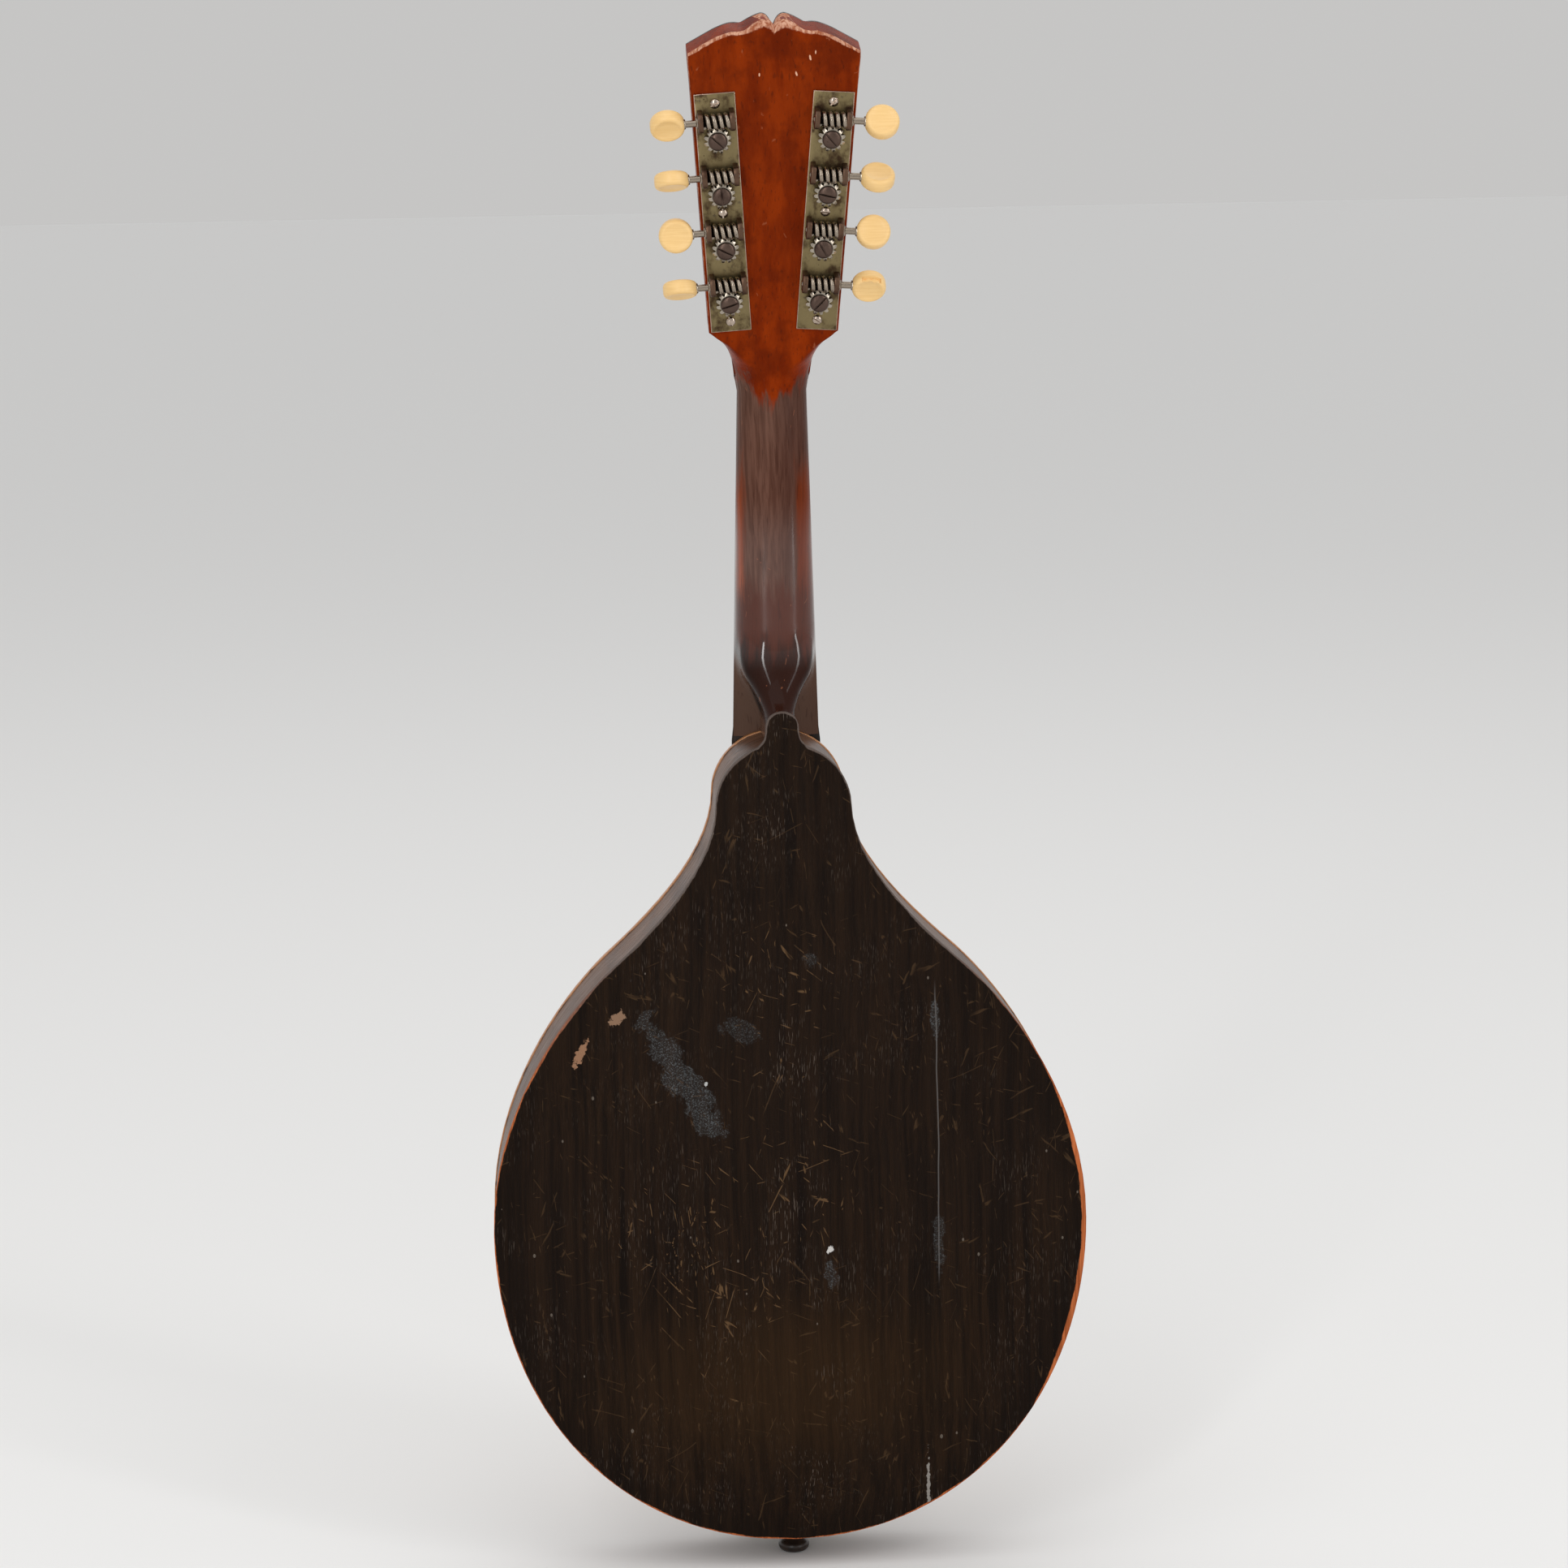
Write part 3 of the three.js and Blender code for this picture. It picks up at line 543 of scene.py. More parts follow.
# %% Group: scratches
scratch_group, s_in, s_out = group_tree(
    "scratches",
    [("Vector", VECTOR, (0, 0, 0)), ("Frequency", VECTOR, (12.0, 12.0, 5.0)),
     ("Thinness", FLOAT, 0.004), ("Amount", FLOAT, 0.5)],
    ["Mask"],
)
field = scaled(scratch_group, s_in["Vector"], s_in["Frequency"])
line = noise(scratch_group, field, 1.0, 0.0, 0.5, 0.6)
line = math_node(scratch_group, "ABSOLUTE", math_node(scratch_group, "SUBTRACT", line, 0.5))
thin = between(scratch_group, line, s_in["Thinness"], 0.0)
breaks = noise(scratch_group, scaled(scratch_group, field, (5.0, 5.0, 5.0)), 1.0, 2.0)
limit = math_node(scratch_group, "SUBTRACT", 1.0, s_in["Amount"])
shown = math_node(scratch_group, "GREATER_THAN", breaks, limit)
scratch_group.links.new(times(scratch_group, thin, shown), s_out["Mask"])

# %% Group: specks
speck_group, p_in, p_out = group_tree(
    "specks",
    [("Vector", VECTOR, (0, 0, 0)), ("Frequency", VECTOR, (220.0, 220.0, 220.0)),
     ("Size", FLOAT, 0.25), ("Share", FLOAT, 0.2)],
    ["Mask"],
)
cells = add(speck_group, "ShaderNodeTexVoronoi",
            [("Vector", scaled(speck_group, p_in["Vector"], p_in["Frequency"])), ("Scale", 1.0)])
lot = add(speck_group, "ShaderNodeSeparateColor", [(0, cells.outputs["Color"])]).outputs[0]
chosen = math_node(speck_group, "LESS_THAN", lot, p_in["Share"])
radius = times(speck_group, p_in["Size"], add(
    speck_group, "ShaderNodeSeparateColor", [(0, cells.outputs["Color"])]).outputs[1])
dot = math_node(speck_group, "LESS_THAN", cells.outputs["Distance"], radius)
speck_group.links.new(times(speck_group, dot, chosen), p_out["Mask"])

# %% Group: cloudy patches
patch_group, c_in, c_out = group_tree(
    "cloudy patches",
    [("Vector", VECTOR, (0, 0, 0)), ("Frequency", VECTOR, (20.0, 20.0, 20.0)),
     ("Cover", FLOAT, 0.4), ("Softness", FLOAT, 0.1)],
    ["Mask", "Tone"],
)
field = scaled(patch_group, c_in["Vector"], c_in["Frequency"])
tone = noise(patch_group, field, 1.0, 5.0, 0.6)
start = math_node(patch_group, "SUBTRACT", 1.0, c_in["Cover"])
full = math_node(patch_group, "ADD", start, c_in["Softness"])
patch_group.links.new(between(patch_group, tone, start, full), c_out["Mask"])
patch_group.links.new(tone, c_out["Tone"])


# %% [markdown]
# ### The finishes themselves
# Each finish starts from the same bare Principled shader. Gloss, metal and coat are set on the
# shader's own sockets; only what changes over the surface arrives through a link.

# %% Starting a finish
def srgb(red, green, blue):
    """A colour as seen on a screen, 0 to 255, in the linear values that shaders want."""
    return tuple((v / 255 / 12.92 if v <= 10 else ((v / 255 + 0.055) / 1.055) ** 2.4)
                 for v in (red, green, blue)) + (1.0,)


def tint(tree, colour, mask, share, tone):
    """Lays a tone over the colour where a mask shows, at most as strongly as the share."""
    return blend_colour(tree, times(tree, mask, share), colour, srgb(*tone))


def new_finish(name, **constants):
    """A material with its shader; returns the tree, the object coordinates and the shader."""
    finish = bpy.data.materials.new(name)
    finish.use_nodes = True
    tree = finish.node_tree
    shader = tree.nodes["Principled BSDF"]
    for socket, value in constants.items():
        shader.inputs[socket.replace("_", " ")].default_value = value
    place = add(tree, "ShaderNodeTexCoord").outputs["Object"]
    return finish, tree, place, shader


def drive(tree, shader, **outputs):
    for socket, value in outputs.items():
        tree.links.new(value, shader.inputs[socket.replace("_", " ")])


def relief(tree, shader, height, depth):
    """A Bump node: the height runs from 0 to 1 and depth is in millimetres."""
    pairs = [("Height", height), ("Distance", depth * MM), ("Strength", 1.0)]
    bump = add(tree, "ShaderNodeBump", pairs)
    tree.links.new(bump.outputs["Normal"], shader.inputs["Normal"])


def measured(tree, name):
    return add(tree, "ShaderNodeAttribute", attribute_name=name).outputs["Fac"]

# %% [markdown]
# ### Varnished and bare woods
# One recipe serves the plain woods: dark and light grain colours, pores, a cloudy change over the
# board, and settled dust. The back, the ribs, the top and the neck have recipes of their own.

# %% Wood recipe
ALONG_Z = (300.0, 300.0, 9.0)
ALONG_X = (9.0, 300.0, 300.0)


def wood_finish(name, dark, light, deep, grain=ALONG_Z, roughness=0.35, specular=0.4, coat=0.0,
                bump=0.05, dust=0.0):
    finish, tree, place, shader = new_finish(
        name, Specular_IOR_Level=specular, Coat_Weight=coat, Coat_Roughness=0.12)
    wood = use(tree, grain_group, Vector=place, Frequency=grain)
    colour = blend_colour(tree, wood["Streak"], srgb(*dark), srgb(*light))
    fibres = times(tree, wood["Fibre"], 0.35)
    colour = blend_colour(tree, fibres, colour, srgb(*light))
    colour = tint(tree, colour, wood["Cloud"], 0.45, deep)
    colour = tint(tree, colour, wood["Pore"], 0.6, deep)
    rough = between(tree, wood["Fibre"], 0.0, 1.0, roughness - 0.05, roughness + 0.08)
    if dust:
        settled = use(tree, patch_group, Vector=place, Frequency=(45.0, 45.0, 45.0), Cover=dust,
                      Softness=0.2)["Mask"]
        settled = times(tree, settled, 0.35)
        colour = blend_colour(tree, settled, colour, srgb(126, 116, 104))
        rough = blend_value(tree, settled, rough, 0.8)
    drive(tree, shader, Base_Color=colour, Roughness=rough)
    height = math_node(tree, "MULTIPLY_ADD", wood["Pore"], -0.8, wood["Fibre"])
    relief(tree, shader, height, bump)
    return finish


ebony = wood_finish("ebony", (17, 14, 12), (40, 33, 28), (10, 8, 7), roughness=0.42, bump=0.04,
                    dust=0.42)
ebony_across = wood_finish("ebony_across", (20, 15, 12), (46, 35, 27), (12, 9, 8), grain=ALONG_X,
                           roughness=0.4, bump=0.05, dust=0.42)
head_black = wood_finish("black_varnish", (14, 12, 11), (24, 20, 18), (8, 7, 6), roughness=0.25,
                         specular=0.35, coat=0.3, bump=0.02)
bare_inside = wood_finish("inside_wood", (150, 112, 74), (186, 146, 100), (128, 92, 60),
                          roughness=0.75, specular=0.2, bump=0.08, dust=0.5)
print("woods", ebony.name, ebony_across.name, head_black.name, bare_inside.name)

# %% [markdown]
# ### The back
# The back is stained so dark that it is nearly black, with fine upright streaks and light flecks
# where the stain missed the pores. A faint golden glow shows low in the middle, hands have rubbed
# grey patches into the gloss, keys left fine scratches, and the edge is worn to orange wood on the
# lower bout. Higher up the edge carries a pale grey line instead, partly whitish wear and partly a
# painted highlight along the rounded edge.

# %% Finish: back wood
def blot(tree, place, centre, half, lean=0.0, ragged=0.7, frequency=320.0):
    """A ragged spot round (x, z), half as wide and tall as given, leaning by an angle in degrees."""
    local = add(
        tree, "ShaderNodeMapping",
        [(0, place), (1, (centre[0], 0, centre[1])), (2, (0, math.radians(lean), 0)),
         (3, (half[0], 1, half[1]))],
        vector_type="TEXTURE",
    ).outputs[0]
    reach = add(tree, "ShaderNodeVectorMath", [(0, local)], operation="LENGTH").outputs["Value"]
    torn = math_node(tree, "SUBTRACT", noise(tree, place, frequency, 4.0, 0.7), 0.5)
    reach = math_node(tree, "MULTIPLY_ADD", torn, 2 * ragged, reach)
    return between(tree, reach, 1.08, 0.85)


back_finish, tree, place, shader = new_finish("dark_back", Specular_IOR_Level=0.04)
wood = use(tree, grain_group, Vector=place, Frequency=(420.0, 420.0, 10.0), Waviness=0.006)
xyz = add(tree, "ShaderNodeSeparateXYZ", [(0, place)]).outputs
colour = blend_colour(tree, wood["Streak"], srgb(19, 12, 8), srgb(31, 21, 14))
lines = use(tree, grain_group, Vector=place, Frequency=(1300.0, 1300.0, 26.0), Waviness=0.008)
colour = tint(tree, colour, lines["Streak"], 0.34, (60, 40, 24))
colour = tint(tree, colour, lines["Fibre"], 0.4, (10, 6, 4))
colour = tint(tree, colour, wood["Cloud"], 0.4, (24, 16, 12))

GLOW = (0.004, -0.425)
off_x = times(tree, math_node(tree, "SUBTRACT", xyz[0], GLOW[0]), 12.0)
off_z = times(tree, math_node(tree, "SUBTRACT", xyz[2], GLOW[1]), 22.0)
off = length_of(tree, off_x, off_z)
glow = between(tree, off, 1.2, 0.2, 0.0, 0.3)
colour = blend_colour(tree, glow, colour, srgb(62, 42, 22))
edge = measured(tree, "edge")
band = times(tree, between(tree, edge, 15.0, 4.0), 0.45)
band = times(tree, band, between(tree, xyz[2], -0.25, -0.33))
colour = blend_colour(tree, band, colour, srgb(16, 10, 7))

# Upright light flecks, thicker along the middle seam, then a fine crack and the cloudy rubs.
fleck_line = use(tree, grain_group, Vector=place, Frequency=(1000.0, 1000.0, 55.0))["Pore"]
clumps = between(tree, noise(tree, place, 36.0, 3.0, 0.6), 0.48, 0.62)
middle = between(tree, math_node(tree, "ABSOLUTE", xyz[0]), 0.020, 0.0, 0.2, 0.6)
middle = times(tree, middle, clumps)
colour = tint(tree, colour, fleck_line, middle, (112, 100, 90))
grit = between(tree, noise(tree, place, 1500.0, 3.0, 0.8), 0.5, 0.62)
crack_way = math_node(tree, "MULTIPLY_ADD", noise(tree, place, 30.0, 2.0), 0.0016, xyz[0])
crack_gap = math_node(tree, "ABSOLUTE", math_node(tree, "ADD", crack_way, 0.0622))
crack = between(tree, crack_gap, 0.00045, 0.0001)
crack_run = times(tree, between(tree, xyz[2], -0.250, -0.262),
                      between(tree, xyz[2], -0.385, -0.372))
crack = times(tree, times(tree, crack, crack_run), 0.55)
colour = blend_colour(tree, crack, colour, srgb(104, 100, 98))
RUBS = (
    ((0.046, -0.289), (0.0070, 0.031), 30, 0.62), ((0.021, -0.270), (0.009, 0.0045), -25, 0.35),
    ((-0.0625, -0.268), (0.0022, 0.0075), 0, 0.6), ((-0.063, -0.366), (0.0028, 0.014), 0, 0.45),
    ((-0.016, -0.376), (0.0032, 0.007), 0, 0.5), ((-0.010, -0.240), (0.0035, 0.003), 0, 0.4),
)
for centre, half, lean, share in RUBS:
    rubbed = times(tree, blot(tree, place, centre, half, lean, 1.5, 110.0), share)
    rubbed = times(tree, rubbed, between(tree, grit, 0.0, 1.0, 0.12, 1.0))
    colour = blend_colour(tree, rubbed, colour, srgb(92, 96, 98))

SCRATCHED = ((0.004, -0.262), (0.050, -0.352), (0.002, -0.335), (0.030, -0.390))
zone = 0.22
for centre in SCRATCHED:
    around = blot(tree, place, centre, (0.026, 0.030), 0, 1.4, 60.0)
    zone = math_node(tree, "ADD", zone, times(tree, around, 0.5))
scratched = 0.0
STROKES = ((24, 70.0, 0.010, 0.40), (-38, 95.0, 0.014, 0.40), (68, 80.0, 0.012, 0.38),
           (-8, 150.0, 0.022, 0.38), (-70, 130.0, 0.018, 0.38))
for lean, pitch, thin, amount in STROKES:
    turned_place = add(tree, "ShaderNodeMapping", [(0, place), (2, (0, math.radians(lean), 0))]).outputs[0]
    marks = use(tree, scratch_group, Vector=turned_place, Frequency=(pitch, pitch, pitch * 0.16),
                Thinness=thin, Amount=amount)
    scratched = math_node(tree, "MAXIMUM", scratched, marks["Mask"])
knots = use(tree, scratch_group, Vector=place, Frequency=(150.0, 150.0, 110.0), Thinness=0.025, Amount=0.46)
tangle = times(tree, knots["Mask"], blot(tree, place, (0.046, -0.366), (0.014, 0.016), 0, 1.2, 80.0))
scratched = math_node(tree, "MAXIMUM", times(tree, scratched, zone), tangle)
scratched = math_node(tree, "MINIMUM", scratched, 0.62)
colour = blend_colour(tree, scratched, colour, srgb(108, 82, 56))
dots = use(tree, speck_group, Vector=place, Frequency=(300.0, 300.0, 200.0), Size=0.2, Share=0.04)
colour = tint(tree, colour, dots["Mask"], 0.5, (120, 110, 100))
CHIPS = (
    ((0.0885, -0.279), (0.0017, 0.0062), -28, (150, 112, 86)),
    ((0.0725, -0.264), (0.0022, 0.0036), -40, (140, 110, 88)),
    ((-0.0158, -0.3655), (0.0014, 0.0018), 0, (206, 202, 198)),
    ((0.0355, -0.2925), (0.0008, 0.0009), 0, (190, 190, 188)),
    ((-0.0575, -0.474), (0.0007, 0.0120), 0, (142, 136, 130)),
)
chipped = 0.0
for centre, half, lean, bare in CHIPS:
    spot = blot(tree, place, centre, half, lean, 1.6, 420.0)
    colour = tint(tree, colour, spot, 0.85, bare)
    chipped = math_node(tree, "MAXIMUM", chipped, spot)

low = between(tree, xyz[2], -0.235, -0.30)
low_side = between(tree, xyz[0], 0.05, -0.10)
heavy = times(tree, low_side, between(tree, xyz[2], -0.285, -0.335))
heavy = times(tree, heavy, between(tree, xyz[2], -0.445, -0.405))
wear_width = math_node(tree, "MULTIPLY_ADD", heavy, 1.7, 0.55)
worn = use(tree, wear_group, Vector=place, Distance=edge, Width=wear_width, Ragged=2.4, Frequency=60.0)
bare = blend_colour(tree, wood["Fibre"], srgb(186, 104, 60), srgb(140, 72, 38))
# Above the lower bout the worn edge band turns pale grey: partly whitish wear, partly a painted highlight
# on the rounded edge.
bare = blend_colour(tree, low, srgb(92, 80, 74), bare)
colour = blend_colour(tree, worn["Mask"], colour, bare)
rough = between(tree, wood["Fibre"], 0.0, 1.0, 0.26, 0.36)
rough = blend_value(tree, worn["Mask"], rough, 0.5)
drive(tree, shader, Base_Color=colour, Roughness=rough)
height = math_node(tree, "MULTIPLY_ADD", wood["Pore"], -0.6, lines["Fibre"])
height = math_node(tree, "MULTIPLY_ADD", scratched, -1.0, height)
height = math_node(tree, "MULTIPLY_ADD", chipped, -1.5, height)
relief(tree, shader, height, 0.06)
print("finish", back_finish.name)

# %% [markdown]
# ### Ribs and top
# The ribs keep a warm brown under the same varnish.
# The top is spruce, which shows straight narrow year lines; a dark sunburst rim and rings of
# coloured wood round the oval hole are worked out from each point's place.

# %% Finish: ribs
rim_finish, tree, place, shader = new_finish("rib_varnish", Specular_IOR_Level=0.15)
wood = use(tree, grain_group, Vector=place, Frequency=(30.0, 500.0, 30.0), Waviness=0.01)
colour = blend_colour(tree, wood["Streak"], srgb(64, 42, 30), srgb(98, 68, 50))
colour = tint(tree, colour, wood["Cloud"], 0.6, (66, 42, 29))
flame = noise(tree, scaled(tree, place, (55.0, 8.0, 55.0)), 1.0, 2.0)
colour = blend_colour(tree, between(tree, flame, 0.42, 0.62, 0.0, 0.35), colour, srgb(118, 82, 58))
marks = use(tree, scratch_group, Vector=place, Frequency=(30.0, 60.0, 30.0), Thinness=0.006, Amount=0.4)
colour = tint(tree, colour, marks["Mask"], 0.5, (172, 140, 110))
worn = use(tree, wear_group, Vector=place, Distance=measured(tree, "edge"), Width=0.5, Ragged=2.0)
colour = blend_colour(tree, worn["Mask"], colour, srgb(116, 78, 54))
drive(tree, shader, Base_Color=colour,
      Roughness=between(tree, wood["Fibre"], 0.0, 1.0, 0.28, 0.42))
relief(tree, shader, wood["Fibre"], 0.04)

# %% Finish: spruce top
HOLE_CENTRE, HOLE_ACROSS, HOLE_ALONG = -250, 29, 21
top_finish, tree, place, shader = new_finish("spruce_top", Specular_IOR_Level=0.4, Coat_Weight=0.2,
                                             Coat_Roughness=0.2)
xyz = add(tree, "ShaderNodeSeparateXYZ", [(0, place)]).outputs
wood = use(tree, grain_group, Vector=place, Frequency=(500.0, 60.0, 3.0), Waviness=0.001)
sway = noise(tree, scaled(tree, place, (8.0, 8.0, 2.0)), 1.0, 1.0)
years = math_node(tree, "MULTIPLY_ADD", xyz[0], 760.0, times(tree, sway, 22.0))
years = math_node(tree, "FRACT", years)
late = between(tree, years, 0.55, 0.96)
colour = blend_colour(tree, late, srgb(170, 108, 50), srgb(126, 70, 28))
colour = tint(tree, colour, wood["Streak"], 0.35, (190, 130, 68))
edge = measured(tree, "edge")
burst = between(tree, math_node(tree, "MULTIPLY_ADD", wood["Cloud"], 8.0, edge), 46.0, 8.0)
colour = tint(tree, colour, burst, 0.9, (40, 20, 12))
round_x = math_node(tree, "DIVIDE", xyz[0], HOLE_ACROSS * MM)
above_hole = math_node(tree, "SUBTRACT", xyz[2], HOLE_CENTRE * MM)
round_z = math_node(tree, "DIVIDE", above_hole, HOLE_ALONG * MM)
reach = length_of(tree, round_x, round_z)
for inner, outer, ink in ((1.10, 1.42, (28, 20, 16)), (1.14, 1.18, (222, 208, 176)),
                          (1.22, 1.30, (150, 64, 34)), (1.34, 1.38, (222, 208, 176))):
    after = math_node(tree, "GREATER_THAN", reach, inner)
    ring = times(tree, after, math_node(tree, "LESS_THAN", reach, outer))
    colour = blend_colour(tree, ring, colour, srgb(*ink))
marks = use(tree, scratch_group, Vector=place, Frequency=(20.0, 20.0, 12.0), Thinness=0.005, Amount=0.42)
colour = tint(tree, colour, marks["Mask"], 0.5, (206, 160, 104))
worn = use(tree, wear_group, Vector=place, Distance=edge, Width=0.6, Ragged=3.0)
colour = blend_colour(tree, worn["Mask"], colour, srgb(176, 120, 74))
drive(tree, shader, Base_Color=colour,
      Roughness=between(tree, wood["Fibre"], 0.0, 1.0, 0.30, 0.42))
relief(tree, shader, math_node(tree, "MULTIPLY_ADD", late, 0.8, wood["Fibre"]), 0.05)
print("finishes", rim_finish.name, top_finish.name)

# %% [markdown]
# ### The neck
# Mahogany under reddish orange varnish: saturated on the flat headstock, browner down the neck
# where hands have polished it. The worn crest of the headstock shows pale pinkish wood. The bass
# side of the shaft is darkened with painted shade, and a thin painted shadow line runs along the
# crease round the heel's cheeks.

# %% Finish: mahogany
neck_finish, tree, place, shader = new_finish("red_mahogany", Specular_IOR_Level=0.03, Coat_Roughness=0.06)
wood = use(tree, grain_group, Vector=place, Frequency=(340.0, 340.0, 16.0), Waviness=0.004)
xyz = add(tree, "ShaderNodeSeparateXYZ", [(0, place)]).outputs
aside = math_node(tree, "ABSOLUTE", xyz[0])
sway = noise(tree, scaled(tree, place, (220.0, 220.0, 34.0)), 1.0, 4.0, 0.65)
sway = math_node(tree, "SUBTRACT", sway, 0.5)
along_neck = math_node(tree, "MULTIPLY_ADD", sway, 0.034, xyz[2])
across_neck = math_node(tree, "MULTIPLY_ADD", sway, 0.005, xyz[0])
colour = blend_colour(tree, wood["Streak"], srgb(108, 31, 1), srgb(136, 46, 3))
blush = noise(tree, place, 60.0, 4.0, 0.6)
colour = blend_colour(tree, between(tree, blush, 0.5, 0.66, 0.0, 0.5), colour, srgb(84, 22, 2))

orange = blend_colour(tree, wood["Streak"], srgb(112, 48, 22), srgb(160, 78, 42))
hand = blend_colour(tree, wood["Fibre"], srgb(82, 56, 46), srgb(104, 74, 62))
# The bass side of the shaft (x below zero) is darkened here and on the next line: painted shade on the side
# turned away from the light.
hand = blend_colour(tree, between(tree, xyz[0], 0.004, -0.006, 0.0, 0.5), hand, srgb(62, 40, 34))
orange = blend_colour(tree, between(tree, xyz[0], 0.002, -0.004, 0.0, 0.6), orange, srgb(84, 30, 12))
rubbed = times(tree, between(tree, across_neck, 0.0145, 0.0115),
                   between(tree, across_neck, -0.0105, -0.0075))
high = between(tree, along_neck, -0.046, -0.026)
rubbed = math_node(tree, "MAXIMUM", rubbed, high)
shaft = blend_colour(tree, rubbed, orange, hand)
red_foot = math_node(tree, "MULTIPLY_ADD", aside, 0.9, -0.007)
start = math_node(tree, "SUBTRACT", along_neck, red_foot)
colour = blend_colour(tree, between(tree, start, 0.003, -0.005), colour, shaft)
colour = blend_colour(tree, between(tree, along_neck, -0.078, -0.094), colour, srgb(76, 34, 20))
colour = blend_colour(tree, between(tree, along_neck, -0.104, -0.118), colour, srgb(28, 18, 14))
HEEL_SHOULDER, HEEL_HALF, HEEL_TAPER = -0.1125, 0.0167, 0.38
under = math_node(tree, "SUBTRACT", xyz[2], HEEL_SHOULDER)
heel_side = math_node(tree, "MULTIPLY_ADD", under, HEEL_TAPER, HEEL_HALF)
past_side = math_node(tree, "SUBTRACT", aside, heel_side)
below = between(tree, xyz[2], HEEL_SHOULDER, HEEL_SHOULDER - 0.002)
cheek = times(tree, below, between(tree, past_side, -0.0004, 0.0010))
colour = blend_colour(tree, cheek, colour, srgb(84, 62, 50))
# A thin near-black line along the crease where the heel's cheeks meet its ridge: painted shade in the
# crease.
line = between(tree, math_node(tree, "ABSOLUTE", past_side), 0.0016, 0.0004, 0.0, 0.75)
colour = tint(tree, colour, below, line, (18, 12, 9))
colour = tint(tree, colour, wood["Cloud"], 0.25, (72, 28, 12))
colour = tint(tree, colour, wood["Pore"], 0.35, (44, 18, 10))
marks = use(tree, scratch_group, Vector=place, Frequency=(60.0, 60.0, 30.0), Thinness=0.012, Amount=0.36)
colour = tint(tree, colour, marks["Mask"], 0.35, (170, 104, 72))
NICKS = (((-0.0146, 0.1352), (0.0004, 0.0011), 12), ((-0.0168, 0.1374), (0.0003, 0.0008), 0),
         ((-0.0090, 0.1290), (0.0004, 0.0010), 18), ((0.0060, 0.1288), (0.0003, 0.0006), 0))
for centre, half, lean in NICKS:
    nick = blot(tree, place, centre, half, lean, 0.6, 700.0)
    colour = blend_colour(tree, nick, colour, srgb(214, 168, 140))
grime = use(tree, speck_group, Vector=place, Frequency=(150.0, 150.0, 90.0), Size=0.14, Share=0.05)
colour = tint(tree, colour, grime["Mask"], 0.5, (48, 20, 10))
crest_worn = use(tree, wear_group, Vector=place, Distance=measured(tree, "edge"), Width=1.05,
                 Ragged=2.2, Frequency=160.0)
pale = blend_colour(tree, wood["Fibre"], srgb(206, 158, 132), srgb(150, 84, 56))
colour = blend_colour(tree, crest_worn["Mask"], colour, pale)
rough = between(tree, wood["Fibre"], 0.0, 1.0, 0.22, 0.32)
rough = blend_value(tree, crest_worn["Mask"], rough, 0.55)
gloss = times(tree, between(tree, xyz[2], -0.045, -0.070, 0.0, 0.9),
                  between(tree, xyz[2], -0.122, -0.112, 0.15, 1.0))
drive(tree, shader, Base_Color=colour, Roughness=rough, Coat_Weight=gloss)
relief(tree, shader, math_node(tree, "MULTIPLY_ADD", wood["Pore"], -0.8, wood["Fibre"]), 0.03)
print("finish", neck_finish.name)

# %% [markdown]
# ### Metals, ivoroid, bone, horn and strings
# Old plated brass dulls to a greenish brown with patches of grime, while rubbed parts stay
# bright; the hollows between worm threads, at gear-tooth roots and round the gear screws are
# darkened with painted shade along with grime. Ivoroid is an early plastic with faint even lines,
# yellowed with age. Wound strings get their fine ridges from a bump that repeats along their length.

# %% Metal recipe
def metal_finish(name, bright, dull, grime, cover, roughness, bump=0.03, polished=None,
                 hollow=None, grimy=0.55):
    """polished: (colour, width) of a rubbed edge. hollow: (from, to) depth over which the colour goes near
    black, painted shade in the hollows along with grime.
    """
    finish, tree, place, shader = new_finish(name)
    tarnish = use(tree, patch_group, Vector=place, Frequency=(160.0, 160.0, 110.0), Cover=cover,
                  Softness=0.22)
    fine = use(tree, patch_group, Vector=place, Frequency=(900.0, 900.0, 900.0), Cover=0.5,
               Softness=0.2)
    colour = blend_colour(tree, tarnish["Mask"], srgb(*bright), srgb(*dull))
    dirt = use(tree, patch_group, Vector=place, Frequency=(420.0, 420.0, 420.0), Cover=0.42,
               Softness=0.14)["Mask"]
    colour = tint(tree, colour, dirt, grimy, grime)
    pits = use(tree, speck_group, Vector=place, Frequency=(700.0, 700.0, 700.0), Size=0.22, Share=0.15)
    colour = tint(tree, colour, pits["Mask"], 0.6, grime)
    lines = noise(tree, scaled(tree, place, (900.0, 900.0, 90.0)), 1.0, 2.0)
    rough = between(tree, fine["Tone"], 0.3, 0.7, roughness - 0.08, roughness + 0.08)
    rough = blend_value(tree, tarnish["Mask"], rough, min(roughness + 0.16, 0.75))
    metal = between(tree, dirt, 0.0, 1.0, 1.0, 0.6)
    if polished:
        shine = use(tree, wear_group, Vector=place, Distance=measured(tree, "edge"), Width=polished[1],
                    Ragged=0.5, Frequency=300.0)["Mask"]
        colour = blend_colour(tree, shine, colour, srgb(*polished[0]))
        rough = blend_value(tree, shine, rough, 0.3)
    if hollow:
        # Below a set depth the colour goes near black: painted shade between worm threads, at gear-tooth
        # roots and under the gear screw, along with grime.
        deep = between(tree, measured(tree, "edge"), hollow[0], hollow[1])
        colour = blend_colour(tree, deep, colour, srgb(16, 11, 8))
        rough = blend_value(tree, deep, rough, 0.7)
    drive(tree, shader, Base_Color=colour, Roughness=rough, Metallic=metal)
    relief(tree, shader, math_node(tree, "MULTIPLY_ADD", pits["Mask"], -1.0, lines), bump)
    return finish


